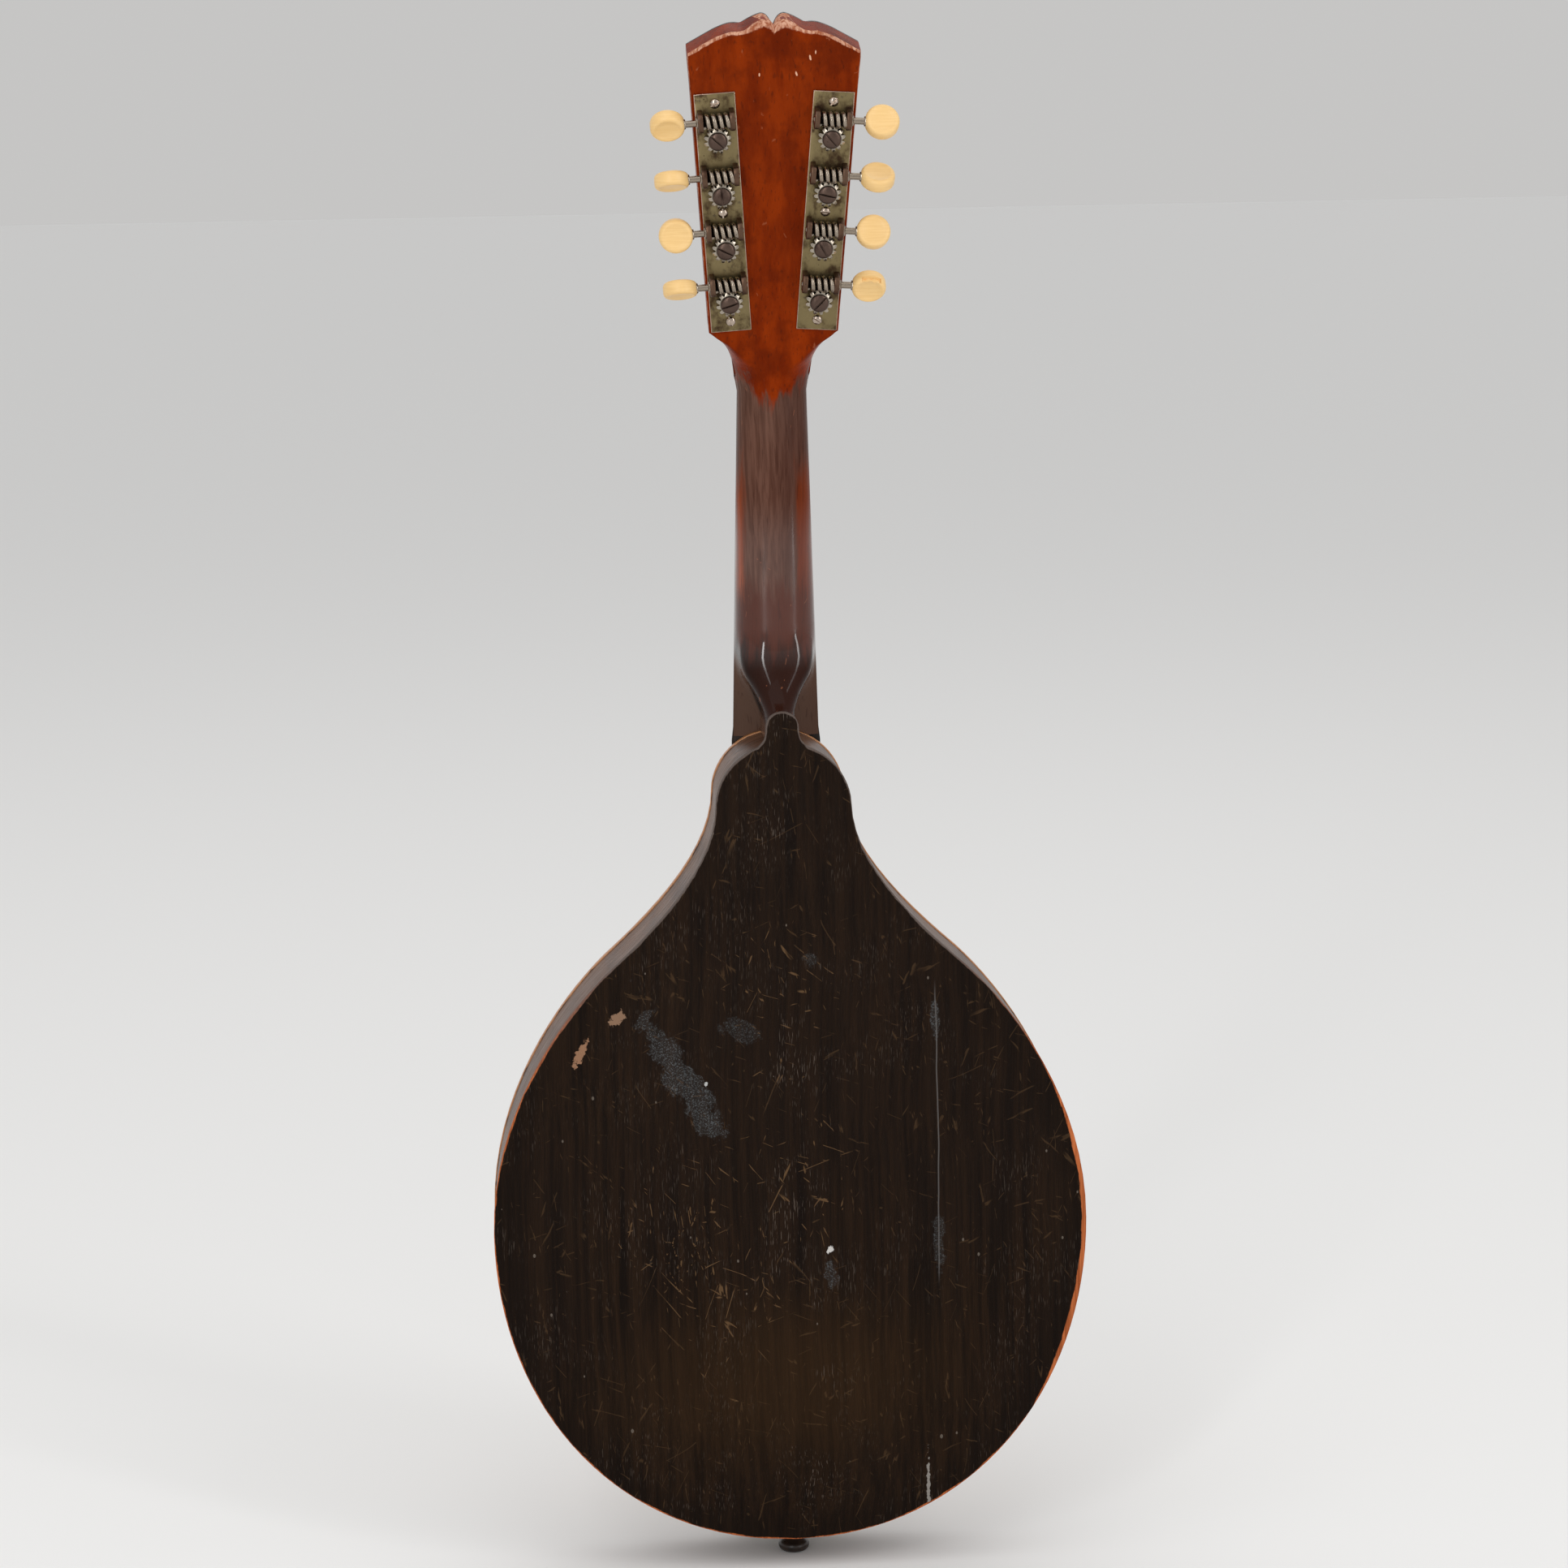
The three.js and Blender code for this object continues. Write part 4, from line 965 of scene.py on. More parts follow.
plate_metal = metal_finish("dull_brass_strip", (126, 112, 80), (70, 53, 38), (44, 30, 20), 0.55, 0.4,
                           polished=((190, 166, 150), 0.3))
worm_metal = metal_finish("worm_metal", (150, 138, 124), (118, 104, 88), (60, 46, 34), 0.4, 0.24,
                          bump=0.01, hollow=(0.7, 1.3), grimy=0.2)
gear_metal = metal_finish("gear_brass", (170, 160, 146), (104, 88, 70), (50, 36, 26), 0.42, 0.24,
                          hollow=(1.3, 2.1))
bright_screw = metal_finish("rubbed_screw", (176, 160, 146), (120, 98, 84), (48, 36, 30), 0.45, 0.2)
screw_metal = metal_finish("brown_screw", (88, 72, 64), (66, 52, 46), (36, 26, 22), 0.5, 0.36)
tab_metal = metal_finish("brown_tab", (96, 74, 60), (72, 52, 42), (44, 30, 24), 0.5, 0.4)
post_metal = metal_finish("post_nickel", (168, 160, 146), (122, 112, 96), (70, 56, 42), 0.4, 0.3)
tail_metal = metal_finish("nickel_tailpiece", (164, 156, 140), (118, 106, 86), (66, 52, 38), 0.45, 0.3)
fret_metal = metal_finish("fret_nickel", (186, 180, 168), (146, 138, 126), (78, 64, 50), 0.35, 0.28)


# %% Plastics, bone, horn and strings
def smooth_finish(name, light, deep, stain, roughness, frequency, specular=0.5, coat=0.0, bump=0.02,
                  cover=0.4, stain_share=0.5):
    finish, tree, place, shader = new_finish(
        name, Specular_IOR_Level=specular, Coat_Weight=coat, Coat_Roughness=0.15)
    lines = noise(tree, scaled(tree, place, frequency), 1.0, 2.0)
    colour = blend_colour(tree, between(tree, lines, 0.35, 0.65), srgb(*light), srgb(*deep))
    dirt = use(tree, patch_group, Vector=place, Frequency=(130.0, 130.0, 130.0), Cover=cover,
               Softness=0.25)
    colour = tint(tree, colour, dirt["Mask"], stain_share, stain)
    pits = use(tree, speck_group, Vector=place, Frequency=(420.0, 420.0, 420.0), Size=0.16, Share=0.06)
    colour = tint(tree, colour, pits["Mask"], 0.5, stain)
    rough = between(tree, dirt["Tone"], 0.3, 0.7, roughness - 0.06, roughness + 0.1)
    drive(tree, shader, Base_Color=colour, Roughness=rough)
    relief(tree, shader, lines, bump)
    return finish


ivoroid = smooth_finish("old_ivoroid", (236, 198, 136), (231, 191, 127), (206, 156, 96), 0.36,
                        (90.0, 90.0, 1500.0), specular=0.35, bump=0.003, cover=0.4, stain_share=0.3)
bone = smooth_finish("bone", (232, 220, 190), (220, 204, 168), (176, 150, 108), 0.4,
                     (60.0, 900.0, 900.0), bump=0.01)
horn = smooth_finish("black_horn", (30, 22, 17), (44, 32, 24), (70, 54, 42), 0.3,
                     (160.0, 160.0, 60.0), specular=0.4, bump=0.02, stain_share=0.35)
pearl = smooth_finish("pearl_dot", (226, 224, 214), (196, 204, 206), (206, 190, 170), 0.25,
                      (500.0, 500.0, 260.0), coat=0.3, bump=0.004, stain_share=0.3)
# Near-black finish for the sheets in the strip windows: painted shade under each worm, along with greasy
# dirt.
shade_and_grease_finish = smooth_finish("grease_and_painted_shade", (14, 11, 9), (22, 17, 13), (40, 30, 22), 0.55,
                       (300.0, 300.0, 300.0), specular=0.3, bump=0.05, stain_share=0.4)


def string_finish(name, ridges, bright, dull):
    finish, tree, place, shader = new_finish(name)
    along_z = add(tree, "ShaderNodeSeparateXYZ", [(0, place)]).outputs[2]
    phase = times(tree, along_z, ridges * 2 * math.pi)
    wave = math_node(tree, "MULTIPLY_ADD", math_node(tree, "SINE", phase), 0.5, 0.5)
    stain = use(tree, patch_group, Vector=place, Frequency=(60.0, 60.0, 40.0), Cover=0.45, Softness=0.2)
    colour = blend_colour(tree, stain["Mask"], srgb(*bright), srgb(*dull))
    colour = blend_colour(tree, between(tree, wave, 0.4, 0.0, 0.0, 0.6), colour, srgb(60, 44, 30))
    drive(tree, shader, Base_Color=colour, Metallic=between(tree, stain["Tone"], 0.2, 0.8, 1.0, 0.8),
          Roughness=between(tree, stain["Tone"], 0.3, 0.7, 0.24, 0.42))
    relief(tree, shader, wave, 0.04)
    return finish


plain_string = string_finish("plain_string", 200.0, (200, 196, 186), (150, 138, 120))
wound_string = string_finish("wound_string", 2200.0, (196, 164, 112), (142, 108, 68))
print("finishes ready:", len(bpy.data.materials))

# %% [markdown]
# ## The body
# Half of the outline is four curves, from the neck round the shoulder and the wide lower bout to
# the tail. It is drawn once and mirrored, and the back, the ribs and the top all grow from it.

# %% Body outline
BODY_TOP, BODY_BOTTOM, BODY_CENTRE = -148.2, -496.3, -360.0
PLATE = 4.0
FRONT_Y, BACK_Y = -12.65, 35.35
half_outline = chain(
    cubic((0, BODY_TOP), (17.5, BODY_TOP), (28.4, -162), (28.6, -174), 14),
    cubic((28.6, -174), (28.9, -198), (50, -222), (76.6, -245.5), 12),
    cubic((76.6, -245.5), (97, -265), (127, -306), (127, -357), 16),
    cubic((127, -357), (127, -434), (76, BODY_BOTTOM), (0, BODY_BOTTOM), 32),
)
BUTTON_HALF, BUTTON_TOP = 6.9, -135.0
half_button = chain(
    cubic((0, BUTTON_TOP), (3.4, BUTTON_TOP), (BUTTON_HALF, BUTTON_TOP - 2),
          (BUTTON_HALF, BUTTON_TOP - 7), 8),
    quadratic((BUTTON_HALF, BUTTON_TOP - 7), (BUTTON_HALF, BODY_TOP + 1.2),
              (BUTTON_HALF + 2.2, BODY_TOP - 0.35), 5),
)
back_outline = mirrored(half_button + [p for p in half_outline if p.x > BUTTON_HALF + 3.4] +
                        [half_outline[-1]])
body_outline = mirrored(half_outline)


def fine_points(points, spacing=0.6):
    """The outline with points no further apart than the spacing, in millimetres."""
    made = []
    for a, b in zip(points, points[1:] + points[:1]):
        count = max(1, round((b - a).length / spacing))
        made += [a.lerp(b, n / count) for n in range(count)]
    return made


def distance_to(points):
    """A quick reader of the distance from a place to a closed outline, in millimetres."""
    dense = fine_points(points)
    tree = KDTree(len(dense))
    for i, p in enumerate(dense):
        tree.insert((p.x, 0, p.y), i)
    tree.balance()
    return lambda v: tree.find((v.x, 0, v.z))[2]


def drawn_in(points, distance):
    """The outline moved inward by a distance."""
    made = []
    for i, p in enumerate(points):
        along_edge = (points[(i + 1) % len(points)] - points[i - 1]).normalized()
        made.append(Vector((p.x + along_edge.y * distance, p.y - along_edge.x * distance)))
    return made


from_back_edge = distance_to(back_outline)
from_body_edge = distance_to(body_outline)
print("outline points", len(back_outline), len(body_outline))

# %% [markdown]
# ### Back and top
# Both plates are carved: nearly flat near the edge, then rising to a low dome. A loop along the
# outline is extruded and scaled inward ring by ring, each ring is lifted to the arch's height, and
# the sheet is thickened inward. Rounding the edge gives worn varnish a place to sit.

# %% Arched plates
BACK_ARCH = [(0, 7), (0.3, 6.6), (0.58, 4.5), (0.8, 1.6), (0.93, 0.1), (1, 0)]
TOP_ARCH = [(0, 12.5), (0.36, 10.8), (0.62, 6.3), (0.82, 1.8), (0.94, 0.05), (1, 0)]
RING_SHARES = [1, 0.992, 0.982, 0.97, 0.955, 0.935, 0.91, 0.88, 0.85, 0.815, 0.78, 0.74, 0.7, 0.65,
               0.6, 0.55, 0.49, 0.43, 0.37, 0.31, 0.25, 0.19, 0.13, 0.08, 0.04]


def arched_plate(outline, edge_y, outward, arch):
    bm = bmesh.new()
    share = bm.verts.layers.float.new("share")
    loop = loop_of(bm, [Vector((p.x, edge_y, p.y)) for p in outline])
    for vert in bm.verts:
        vert[share] = max(1.0, (vert.co.z - BODY_CENTRE) / (BODY_TOP - BODY_CENTRE))
    centre = Matrix.Translation((0, 0, -BODY_CENTRE))
    for outer, inner in zip(RING_SHARES, RING_SHARES[1:]):
        loop, verts = grow(bm, loop)
        step = inner / outer
        bmesh.ops.scale(bm, vec=(step, 1, step), space=centre, verts=verts)
        for vert in verts:
            vert[share] *= step
    middle = bmesh.ops.contextual_create(bm, geom=loop)["faces"]
    bmesh.ops.poke(bm, faces=middle)
    for vert in bm.verts:
        vert.co.y = edge_y + outward * eased(arch, min(vert[share], 1.0))
    bmesh.ops.recalc_face_normals(bm, faces=bm.faces)
    facing = sum(f.normal.y for f in bm.faces) * outward
    if facing < 0:
        bmesh.ops.reverse_faces(bm, faces=bm.faces)
    bmesh.ops.solidify(bm, geom=bm.faces[:], thickness=PLATE)
    reach = [v.co.y for v in bm.verts]
    print("plate depth", round(min(reach), 2), round(max(reach), 2))
    bmesh.ops.recalc_face_normals(bm, faces=bm.faces)
    ease_edges(bm, 1.1, degrees=50, segments=3)
    return bm


back = add_piece("carved_back", arched_plate(back_outline, BACK_Y, 1, BACK_ARCH), back_finish,
                 "instrument", ["back_plate"], sharp=60)
note(back, "edge", from_back_edge)

top = add_piece("carved_top", arched_plate(body_outline, FRONT_Y, -1, TOP_ARCH), top_finish,
                "instrument", ["top_plate"], sharp=60)
hole = bmesh.new()
rod(hole, 1.0, (0, -40, 0), (0, 0, 0), sides=72)
bmesh.ops.scale(hole, vec=(HOLE_ACROSS, 1, HOLE_ALONG), verts=hole.verts)
bmesh.ops.translate(hole, vec=(0, 0, HOLE_CENTRE), verts=hole.verts)
cut_away(top, hole, sharp=60)
note(top, "edge", from_body_edge)

# %% [markdown]
# ### Ribs
# One bent strip of wood goes all the way round, half a millimetre inside the plates' edges.

# %% Ribs
OVERHANG, RIM_THICKNESS = 0.5, 2.5
ribs = bmesh.new()
RIM_FRONT, RIM_BACK = FRONT_Y + PLATE + 0.02, BACK_Y - PLATE - 0.02
outer_line = [Vector((p.x, RIM_FRONT, p.y)) for p in drawn_in(body_outline, OVERHANG)]
loop = loop_of(ribs, outer_line)
RIM_STEPS = 8
for _ in range(RIM_STEPS):
    loop, verts = grow(ribs, loop)
    bmesh.ops.translate(ribs, vec=(0, (RIM_BACK - RIM_FRONT) / RIM_STEPS, 0), verts=verts)
bmesh.ops.recalc_face_normals(ribs, faces=ribs.faces)
first = ribs.faces[:][0]
if first.normal.dot(first.calc_center_median() - Vector((0, 0, BODY_CENTRE))) < 0:
    bmesh.ops.reverse_faces(ribs, faces=ribs.faces)
bmesh.ops.solidify(ribs, geom=ribs.faces[:], thickness=RIM_THICKNESS)
bmesh.ops.recalc_face_normals(ribs, faces=ribs.faces)
rim = add_piece("bent_ribs", ribs, rim_finish, "instrument", ["rim"], sharp=60)
note(rim, "edge", lambda v: min(v.y - RIM_FRONT, RIM_BACK - v.y) + 0.2)

for name in ("neck_block", "tail_block", "top_brace", "back_lining_treble", "back_lining_bass",
             "top_lining_treble", "top_lining_bass"):
    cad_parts[name].material_slots[0].material = bare_inside
print("inside parts finished in", bare_inside.name)

# %% [markdown]
# ## Neck and headstock
# One piece of mahogany: a rounded neck that swells into the heel at the body, and flattens into
# the headstock through a pointed volute. A ring of points is laid at each station along the neck
# and a wrapped grid is drawn over them, because no single sweep could change from round to flat.
# Small tables say how deep, how wide and how flat the wood is at each station.

# %% Headstock outline
NUT_HALF, JOINT_HALF = 14.6, 18.4
HEAD_WOOD, VENEER = 13.5, 1.5
EAR_HALF, EAR_LOW = 27, 24.4
CORNER_HALF, CORNER_TOP = 35.2, 144.4
shoulder = chain(
    [Vector((14.6, -3.0)), Vector((15.4, 2.0))],
    cubic((15.4, 2), (18.6, 16), (22.6, 21.6), (EAR_HALF, EAR_LOW), 10),
    [Vector((EAR_HALF, EAR_LOW)), Vector((CORNER_HALF, CORNER_TOP))],
)
crest_line = chain(
    quadratic((0, 151.4), (1.6, 157), (4.8, 157), 8),
    quadratic((4.8, 157), (8.2, 156.2), (13.3, 152.8), 8),
    quadratic((13.3, 152.8), (15.6, 153.6), (18.5, 152.9), 6),
    quadratic((18.5, 152.9), (22, 151.8), (25, 150.2), 5),
    [Vector((25, 150.2)), Vector((CORNER_HALF, CORNER_TOP))],
)
head_widths = [(p.y, p.x) for p in shoulder]
crest_heights = [(p.x, p.y) for p in crest_line]
back_notch = [(0, 3.6), (1.2, 2.2), (2.6, 0.7), (4.8, 0.4), (9, 0.0)]
crest_wear = [(0, 2.6), (7.5, 2.3), (10.5, 1.2), (36, 1.0)]
crest_worn_depth = [(0, 4.2), (7.0, 4.2), (10.5, 1.3), (36, 1.1)]


def half_width(c):
    if c > -3:
        return along(head_widths, c)
    return NUT_HALF + (JOINT_HALF - NUT_HALF) * max(c, BODY_TOP) / BODY_TOP


def crest(x):
    """Top of the headstock's black face; the notch in it dies out toward the back."""
    return along(crest_heights, abs(x))


def back_crest(x):
    return crest(x) + along(back_notch, abs(x))


print("headstock half width at its ears", round(half_width(EAR_LOW), 2))

# %% Cross-sections of the neck
DEPTHS = [(-160, 18.2), (-112, 17.9), (-100, 17.4), (-60, 16.2), (-18, 15.2), (-3, 15.3), (8, 16.4)]
FLAT_HALF = [(-8, 0.6), (0, 0.9), (7, 4.7), (12, 10.8), (18, 17.0), (EAR_LOW, 25.4)]
SIDE_DROP = [(6, 13.5), (12, 12.6), (16, 10.0), (20, 5.5), (23, 2.6), (EAR_LOW, 1.5)]
RIDGE_HALF = [(-138, 6.9), (-131, 9.8), (-127, 12.0), (-122, 14.6), (-115, 15.4), (-104, 15.4)]
CHEEK_RISE = [(-148, 3.5), (-138, 5.0), (-127, 7.5), (-115, 12.0), (-104, 15.0)]
HEEL_START, HEEL_END, HEEL_FLAT = -104.0, -137.5, 44.5
SPREAD = [(-108, 1.0), (-98, 0.0)]
INNER_STEPS = [0, 0.04, 0.08, 0.119, 0.16, 0.2, 0.245, 0.292, 0.36, 0.44, 0.52, 0.6, 0.673, 0.75,
               0.83, 0.9, 0.96, 1]
OUTER_STEPS = [math.sin(math.radians(a)) for a in (9, 18, 28, 38, 48, 58, 67, 75, 82, 87, 90)]


def rounded(share, power):
    return (1 - min(max(share, 0.0), 1.0) ** power) ** (1 / power)


def columns(c, flat, wide):
    """How far out each point of a cross-section lies, from the middle to the edge."""
    if c < -98:
        inner = 0.5 * wide + (along(RIDGE_HALF, c) - 0.5 * wide) * along(SPREAD, c)
    else:
        inner = max(flat, 0.5 * wide * smoothstep(26, 10, c))
    inner = min(inner, wide - 0.4)
    return [inner * t for t in INNER_STEPS] + [inner + (wide - inner) * t for t in OUTER_STEPS]


def neck_height(x, c, wide):
    """Depth of the wood behind the fingerboard's glue plane, in the neck's frame."""
    depth = eased(DEPTHS, c)
    plain = depth * rounded(x / wide, 2.35)
    if c > HEEL_START:
        return plain
    rise = min((HEEL_START - c) / (HEEL_START - HEEL_END), 1.0)
    full = depth + (HEEL_FLAT - depth) * (1 - math.sqrt(1 - rise * rise))
    ridge_half, cheek = eased(RIDGE_HALF, c), eased(CHEEK_RISE, c)
    if x <= ridge_half:
        carved = cheek + (full - cheek) * rounded(x / ridge_half, 2.2 + 1.2 * rise ** 6)
    else:
        carved = cheek * max(0.0, (wide - x) / (wide - ridge_half)) ** 1.5
    return plain + (carved - plain) * smoothstep(HEEL_START, -122, c)


def neck_point(x, side, c, wide, flat):
    """A point on the back of the neck or headstock at station c."""
    out = side * x
    onto = smoothstep(-10, 8, c)  # 0 on the neck, 1 on the headstock
    fall = eased(SIDE_DROP, c) * (1 - rounded((x - flat) / max(wide - flat, 0.01), 1.75 + 0.6 * (c > 24)))
    on_head = HEAD @ Vector((out, -(fall if x > flat else 0.0), c))
    if onto >= 1:
        return on_head
    on_neck = NECK @ Vector((out, neck_height(x, c, wide), c))
    return on_neck.lerp(on_head, onto)


def front_point(x, side, c):
    if c <= 4.9:
        return NECK @ Vector((side * x, 0, c))
    return HEAD @ Vector((side * x, -HEAD_WOOD, max(along([(4.9, 1.2), (8, 8)], c), c if c > 8 else 0)))


# %% Neck and headstock
HEAD_STRAIGHT = 128.0
stations = [-152, -144.5, -141, -139.5, -138.5, -137.6, -137, -136.2, -135.2, -134, -132.5, -131,
            -129, -127, -125, -122.5, -120, -117, -114, -111, -108, -106, -104, -102, -99, -95, -90]
stations += list(range(-84, -18, 6)) + list(range(-18, -10, 2)) + list(range(-10, 25))
stations += [EAR_LOW, 25.2, 26.4, 28, 31] + list(range(36, 128, 7))
stations = sorted(set(stations) - {24})
crest_steps = [0, 0.25, 0.5, 0.75]
crest_gaps = [2.6, 1.7, 1.2, 1.0, 0.9, 0.78, 0.64, 0.5, 0.36, 0.24, 0.14, 0.06, 0.015, 0.0]
body_edge = [(p.x, p.y) for p in half_outline if p.y > -176]
HEEL_PLANE = BACK_Y - PLATE - 0.05


def neck_ring(c):
    wide = half_width(c)
    flat = min(eased(FLAT_HALF, c) if c < EAR_LOW else wide - 1.6, wide - 0.5)
    half = columns(c, flat, wide)
    behind = [neck_point(x, 1, c, wide, flat) for x in half]
    before = [front_point(x, 1, c) for x in half]
    if c < HEEL_START:
        for point in behind + before:
            point.y = min(point.y, HEEL_PLANE)
            point.z = max(point.z, along(body_edge, abs(point.x)) + 0.1)
    return behind, before


def crest_ring(gap=None, step=None):
    """A ring near the top; a gap is counted in widths of the worn bevel below the crest."""
    foot = half_width(HEAD_STRAIGHT)
    behind, before = [], []
    wide = foot + (CORNER_HALF - foot) * (1.0 if gap is not None else step)
    for x in columns(60, wide - 1.6, wide):
        at = x / wide * CORNER_HALF
        bevel = along(crest_wear, at)
        low = crest_gaps[0] * bevel
        above = gap * bevel if gap is not None else low
        levels = []
        for line in (back_crest(at), crest(at)):
            v = line - above
            levels.append(v if gap is not None else HEAD_STRAIGHT + (v - HEAD_STRAIGHT) * step)
        drop = 1.5 * (1 - rounded((x - wide + 1.6) / 1.6, 2.35)) if x > wide - 1.6 else 0.0
        if gap is not None and gap < 1.0:
            drop += along(crest_worn_depth, at) * (1 - rounded(1 - gap, 1.7))
        behind.append(HEAD @ Vector((x, -drop, levels[0])))
        before.append(HEAD @ Vector((x, -HEAD_WOOD, levels[1])))
    return behind, before


def closed_ring(behind, before):
    flip = Vector((-1, 1, 1))
    left = [p * flip for p in reversed(behind)] + behind[1:]
    right_side = list(reversed(before)) + [p * flip for p in before[1:]]
    return left + right_side


def shut(behind, before):
    """The end of the wood: back and front points meet halfway, which closes the grid."""
    halfway = [a.lerp(b, 0.5) for a, b in zip(behind, before)]
    return halfway, halfway


halves = [neck_ring(c) for c in stations]
halves += [crest_ring(step=s) for s in crest_steps] + [crest_ring(gap=g) for g in crest_gaps]
halves = [shut(*halves[0])] + halves + [shut(*halves[-1])]
wood_skin = bmesh.new()
skin(wood_skin, [closed_ring(*pair) for pair in halves])
neck = add_piece("mahogany_neck", wood_skin, neck_finish, "instrument", ["neck"], sharp=48)
into_head = HEAD.inverted()


WEAR_FROM, UNTOUCHED, SHELTERED = 22, 60.0, 12.0


def neck_edge(v):
    """Distance from the headstock's edges, counted so that 1 is the limit of the usual wear."""
    local = into_head @ v
    if local.z < WEAR_FROM:
        return UNTOUCHED
    side = half_width(min(local.z, CORNER_TOP)) - abs(local.x)
    level = (back_crest(local.x) - local.z) / along(crest_wear, abs(local.x))
    if level < 0.02 and local.y < -along(crest_worn_depth, abs(local.x)):
        return SHELTERED
    if side < 0.2 and local.y < -0.8:
        return SHELTERED
    return max(0.0, min(side * 2.4 + 0.5, level))


note(neck, "edge", neck_edge)

# %% [markdown]
# ### Holes in the headstock, and its black face
# Eight posts and six screws go into the headstock, so round holes are bored on the strips' frames.
# The face is a thin black sheet cut to the same outline, with a plated bushing at each post.

# %% Bored holes and black face
GEAR_STATIONS = (13.5, 37.0, 60.5, 84.0)
SCREW_STATIONS = (4.5, 51.7, 98.5)
HEAD_THICKNESS = HEAD_WOOD + VENEER
POST_BORE = 3.35


def post_bores():
    bores = bmesh.new()
    for side in SIDES.values():
        for z in GEAR_STATIONS:
            verts = rod(bores, POST_BORE, (0, -20, z), (0, 3, z), sides=28)
            bmesh.ops.transform(bores, matrix=strip_frame(side), verts=verts)
    return bores


cut_away(neck, post_bores(), sharp=48)
face_line = [Vector((p.x, p.y)) for p in crest_line]
face_line += [Vector((p.x, p.y)) for p in reversed(shoulder) if 1.5 < p.y < 144]
face_line += [Vector((15.15, 1.3)), Vector((0, 1.3))]
face_sheet = bmesh.new()
sheet_from(face_sheet, mirrored(face_line), VENEER, -HEAD_WOOD)
ease_edges(face_sheet, 0.25, degrees=60, segments=2)
face = add_piece("black_headstock_face", face_sheet, head_black, "instrument",
                 ["headstock_veneer"], place=HEAD, sharp=40)
cut_away(face, post_bores(), sharp=40)

bushings = bmesh.new()
RING = [(3.15, 0.0), (5.0, 0.0), (4.9, 0.5), (4.2, 1.0), (3.6, 1.15), (3.15, 1.0), (3.15, 0.0)]
for side in SIDES.values():
    for z in GEAR_STATIONS:
        ring = turned(bushings, RING, 32, axis=(0, -1, 0), centre=(0, -HEAD_THICKNESS, z))
        bmesh.ops.transform(bushings, matrix=strip_frame(side), verts=ring)
add_piece("post_bushings", bushings, post_metal, "instrument")

# %% [markdown]
# ## Tuners
# Each strip is a thin brass plate. Pairs of tabs are bent up out of it to hold a worm, which
# leaves a window under every worm, and a near-black sheet in each window is painted shade under
# the worm along with greasy dirt. The strip is a bevelled slab with the windows and screw
# holes cut out; the tabs are small rounded blocks that stand on it.

# %% Tuner strips
STRIP_HALF, STRIP_LENGTH, STRIP_THICK = 8.4, 102.8, 1.0
CENTRE_DISTANCE, WORM_HEIGHT = 8.0, 4.8
TAB_X, TAB_THICK, TAB_HALF, TAB_TOP = 6.5, 2.2, 4.1, 7.9
WINDOW_HALF, WINDOW_LOW, WINDOW_HIGH = 5.3, -3.9, -0.2


def rim_distance(local):
    return max(0.0, min(STRIP_HALF - abs(local.x), local.z, STRIP_LENGTH - local.z))


def strip_windows():
    cutter = bmesh.new()
    for z in GEAR_STATIONS:
        worm_z = z + CENTRE_DISTANCE
        brick(cutter, (-WINDOW_HALF, WINDOW_HALF), (-1, 3), (worm_z + WINDOW_LOW, worm_z + WINDOW_HIGH))
        rod(cutter, 3.1, (0, -1, z), (0, 3, z), sides=28)
    for z in SCREW_STATIONS:
        rod(cutter, 1.25, (0, -1, z), (0, 3, z), sides=16)
    return cutter


TAB_LINE = mirrored(
    [Vector((0.0, TAB_TOP))] +
    quadratic((1.2, TAB_TOP), (TAB_HALF, TAB_TOP - 0.3), (TAB_HALF, 5.0), 6) +
    [Vector((TAB_HALF, 1.4)), Vector((TAB_HALF + 0.5, 0.4)), Vector((0.0, 0.4))]
)


def add_tab(bm, x, worm_z):
    """A tab bent up from the strip: its round-shouldered outline, given a thickness across x."""
    before = set(bm.verts)
    loop = loop_of(bm, [Vector((x - TAB_THICK / 2, p.y, worm_z + p.x)) for p in TAB_LINE])
    flat = bmesh.ops.contextual_create(bm, geom=loop)["faces"]
    made = bmesh.ops.extrude_face_region(bm, geom=flat)["geom"]
    bmesh.ops.translate(bm, vec=(TAB_THICK, 0, 0), verts=only(bmesh.types.BMVert, made))
    ease_edges(bm, 0.3, degrees=70, segments=2, keep=lambda e: e.verts[0] not in before)
    bmesh.ops.recalc_face_normals(bm, faces=bm.faces)


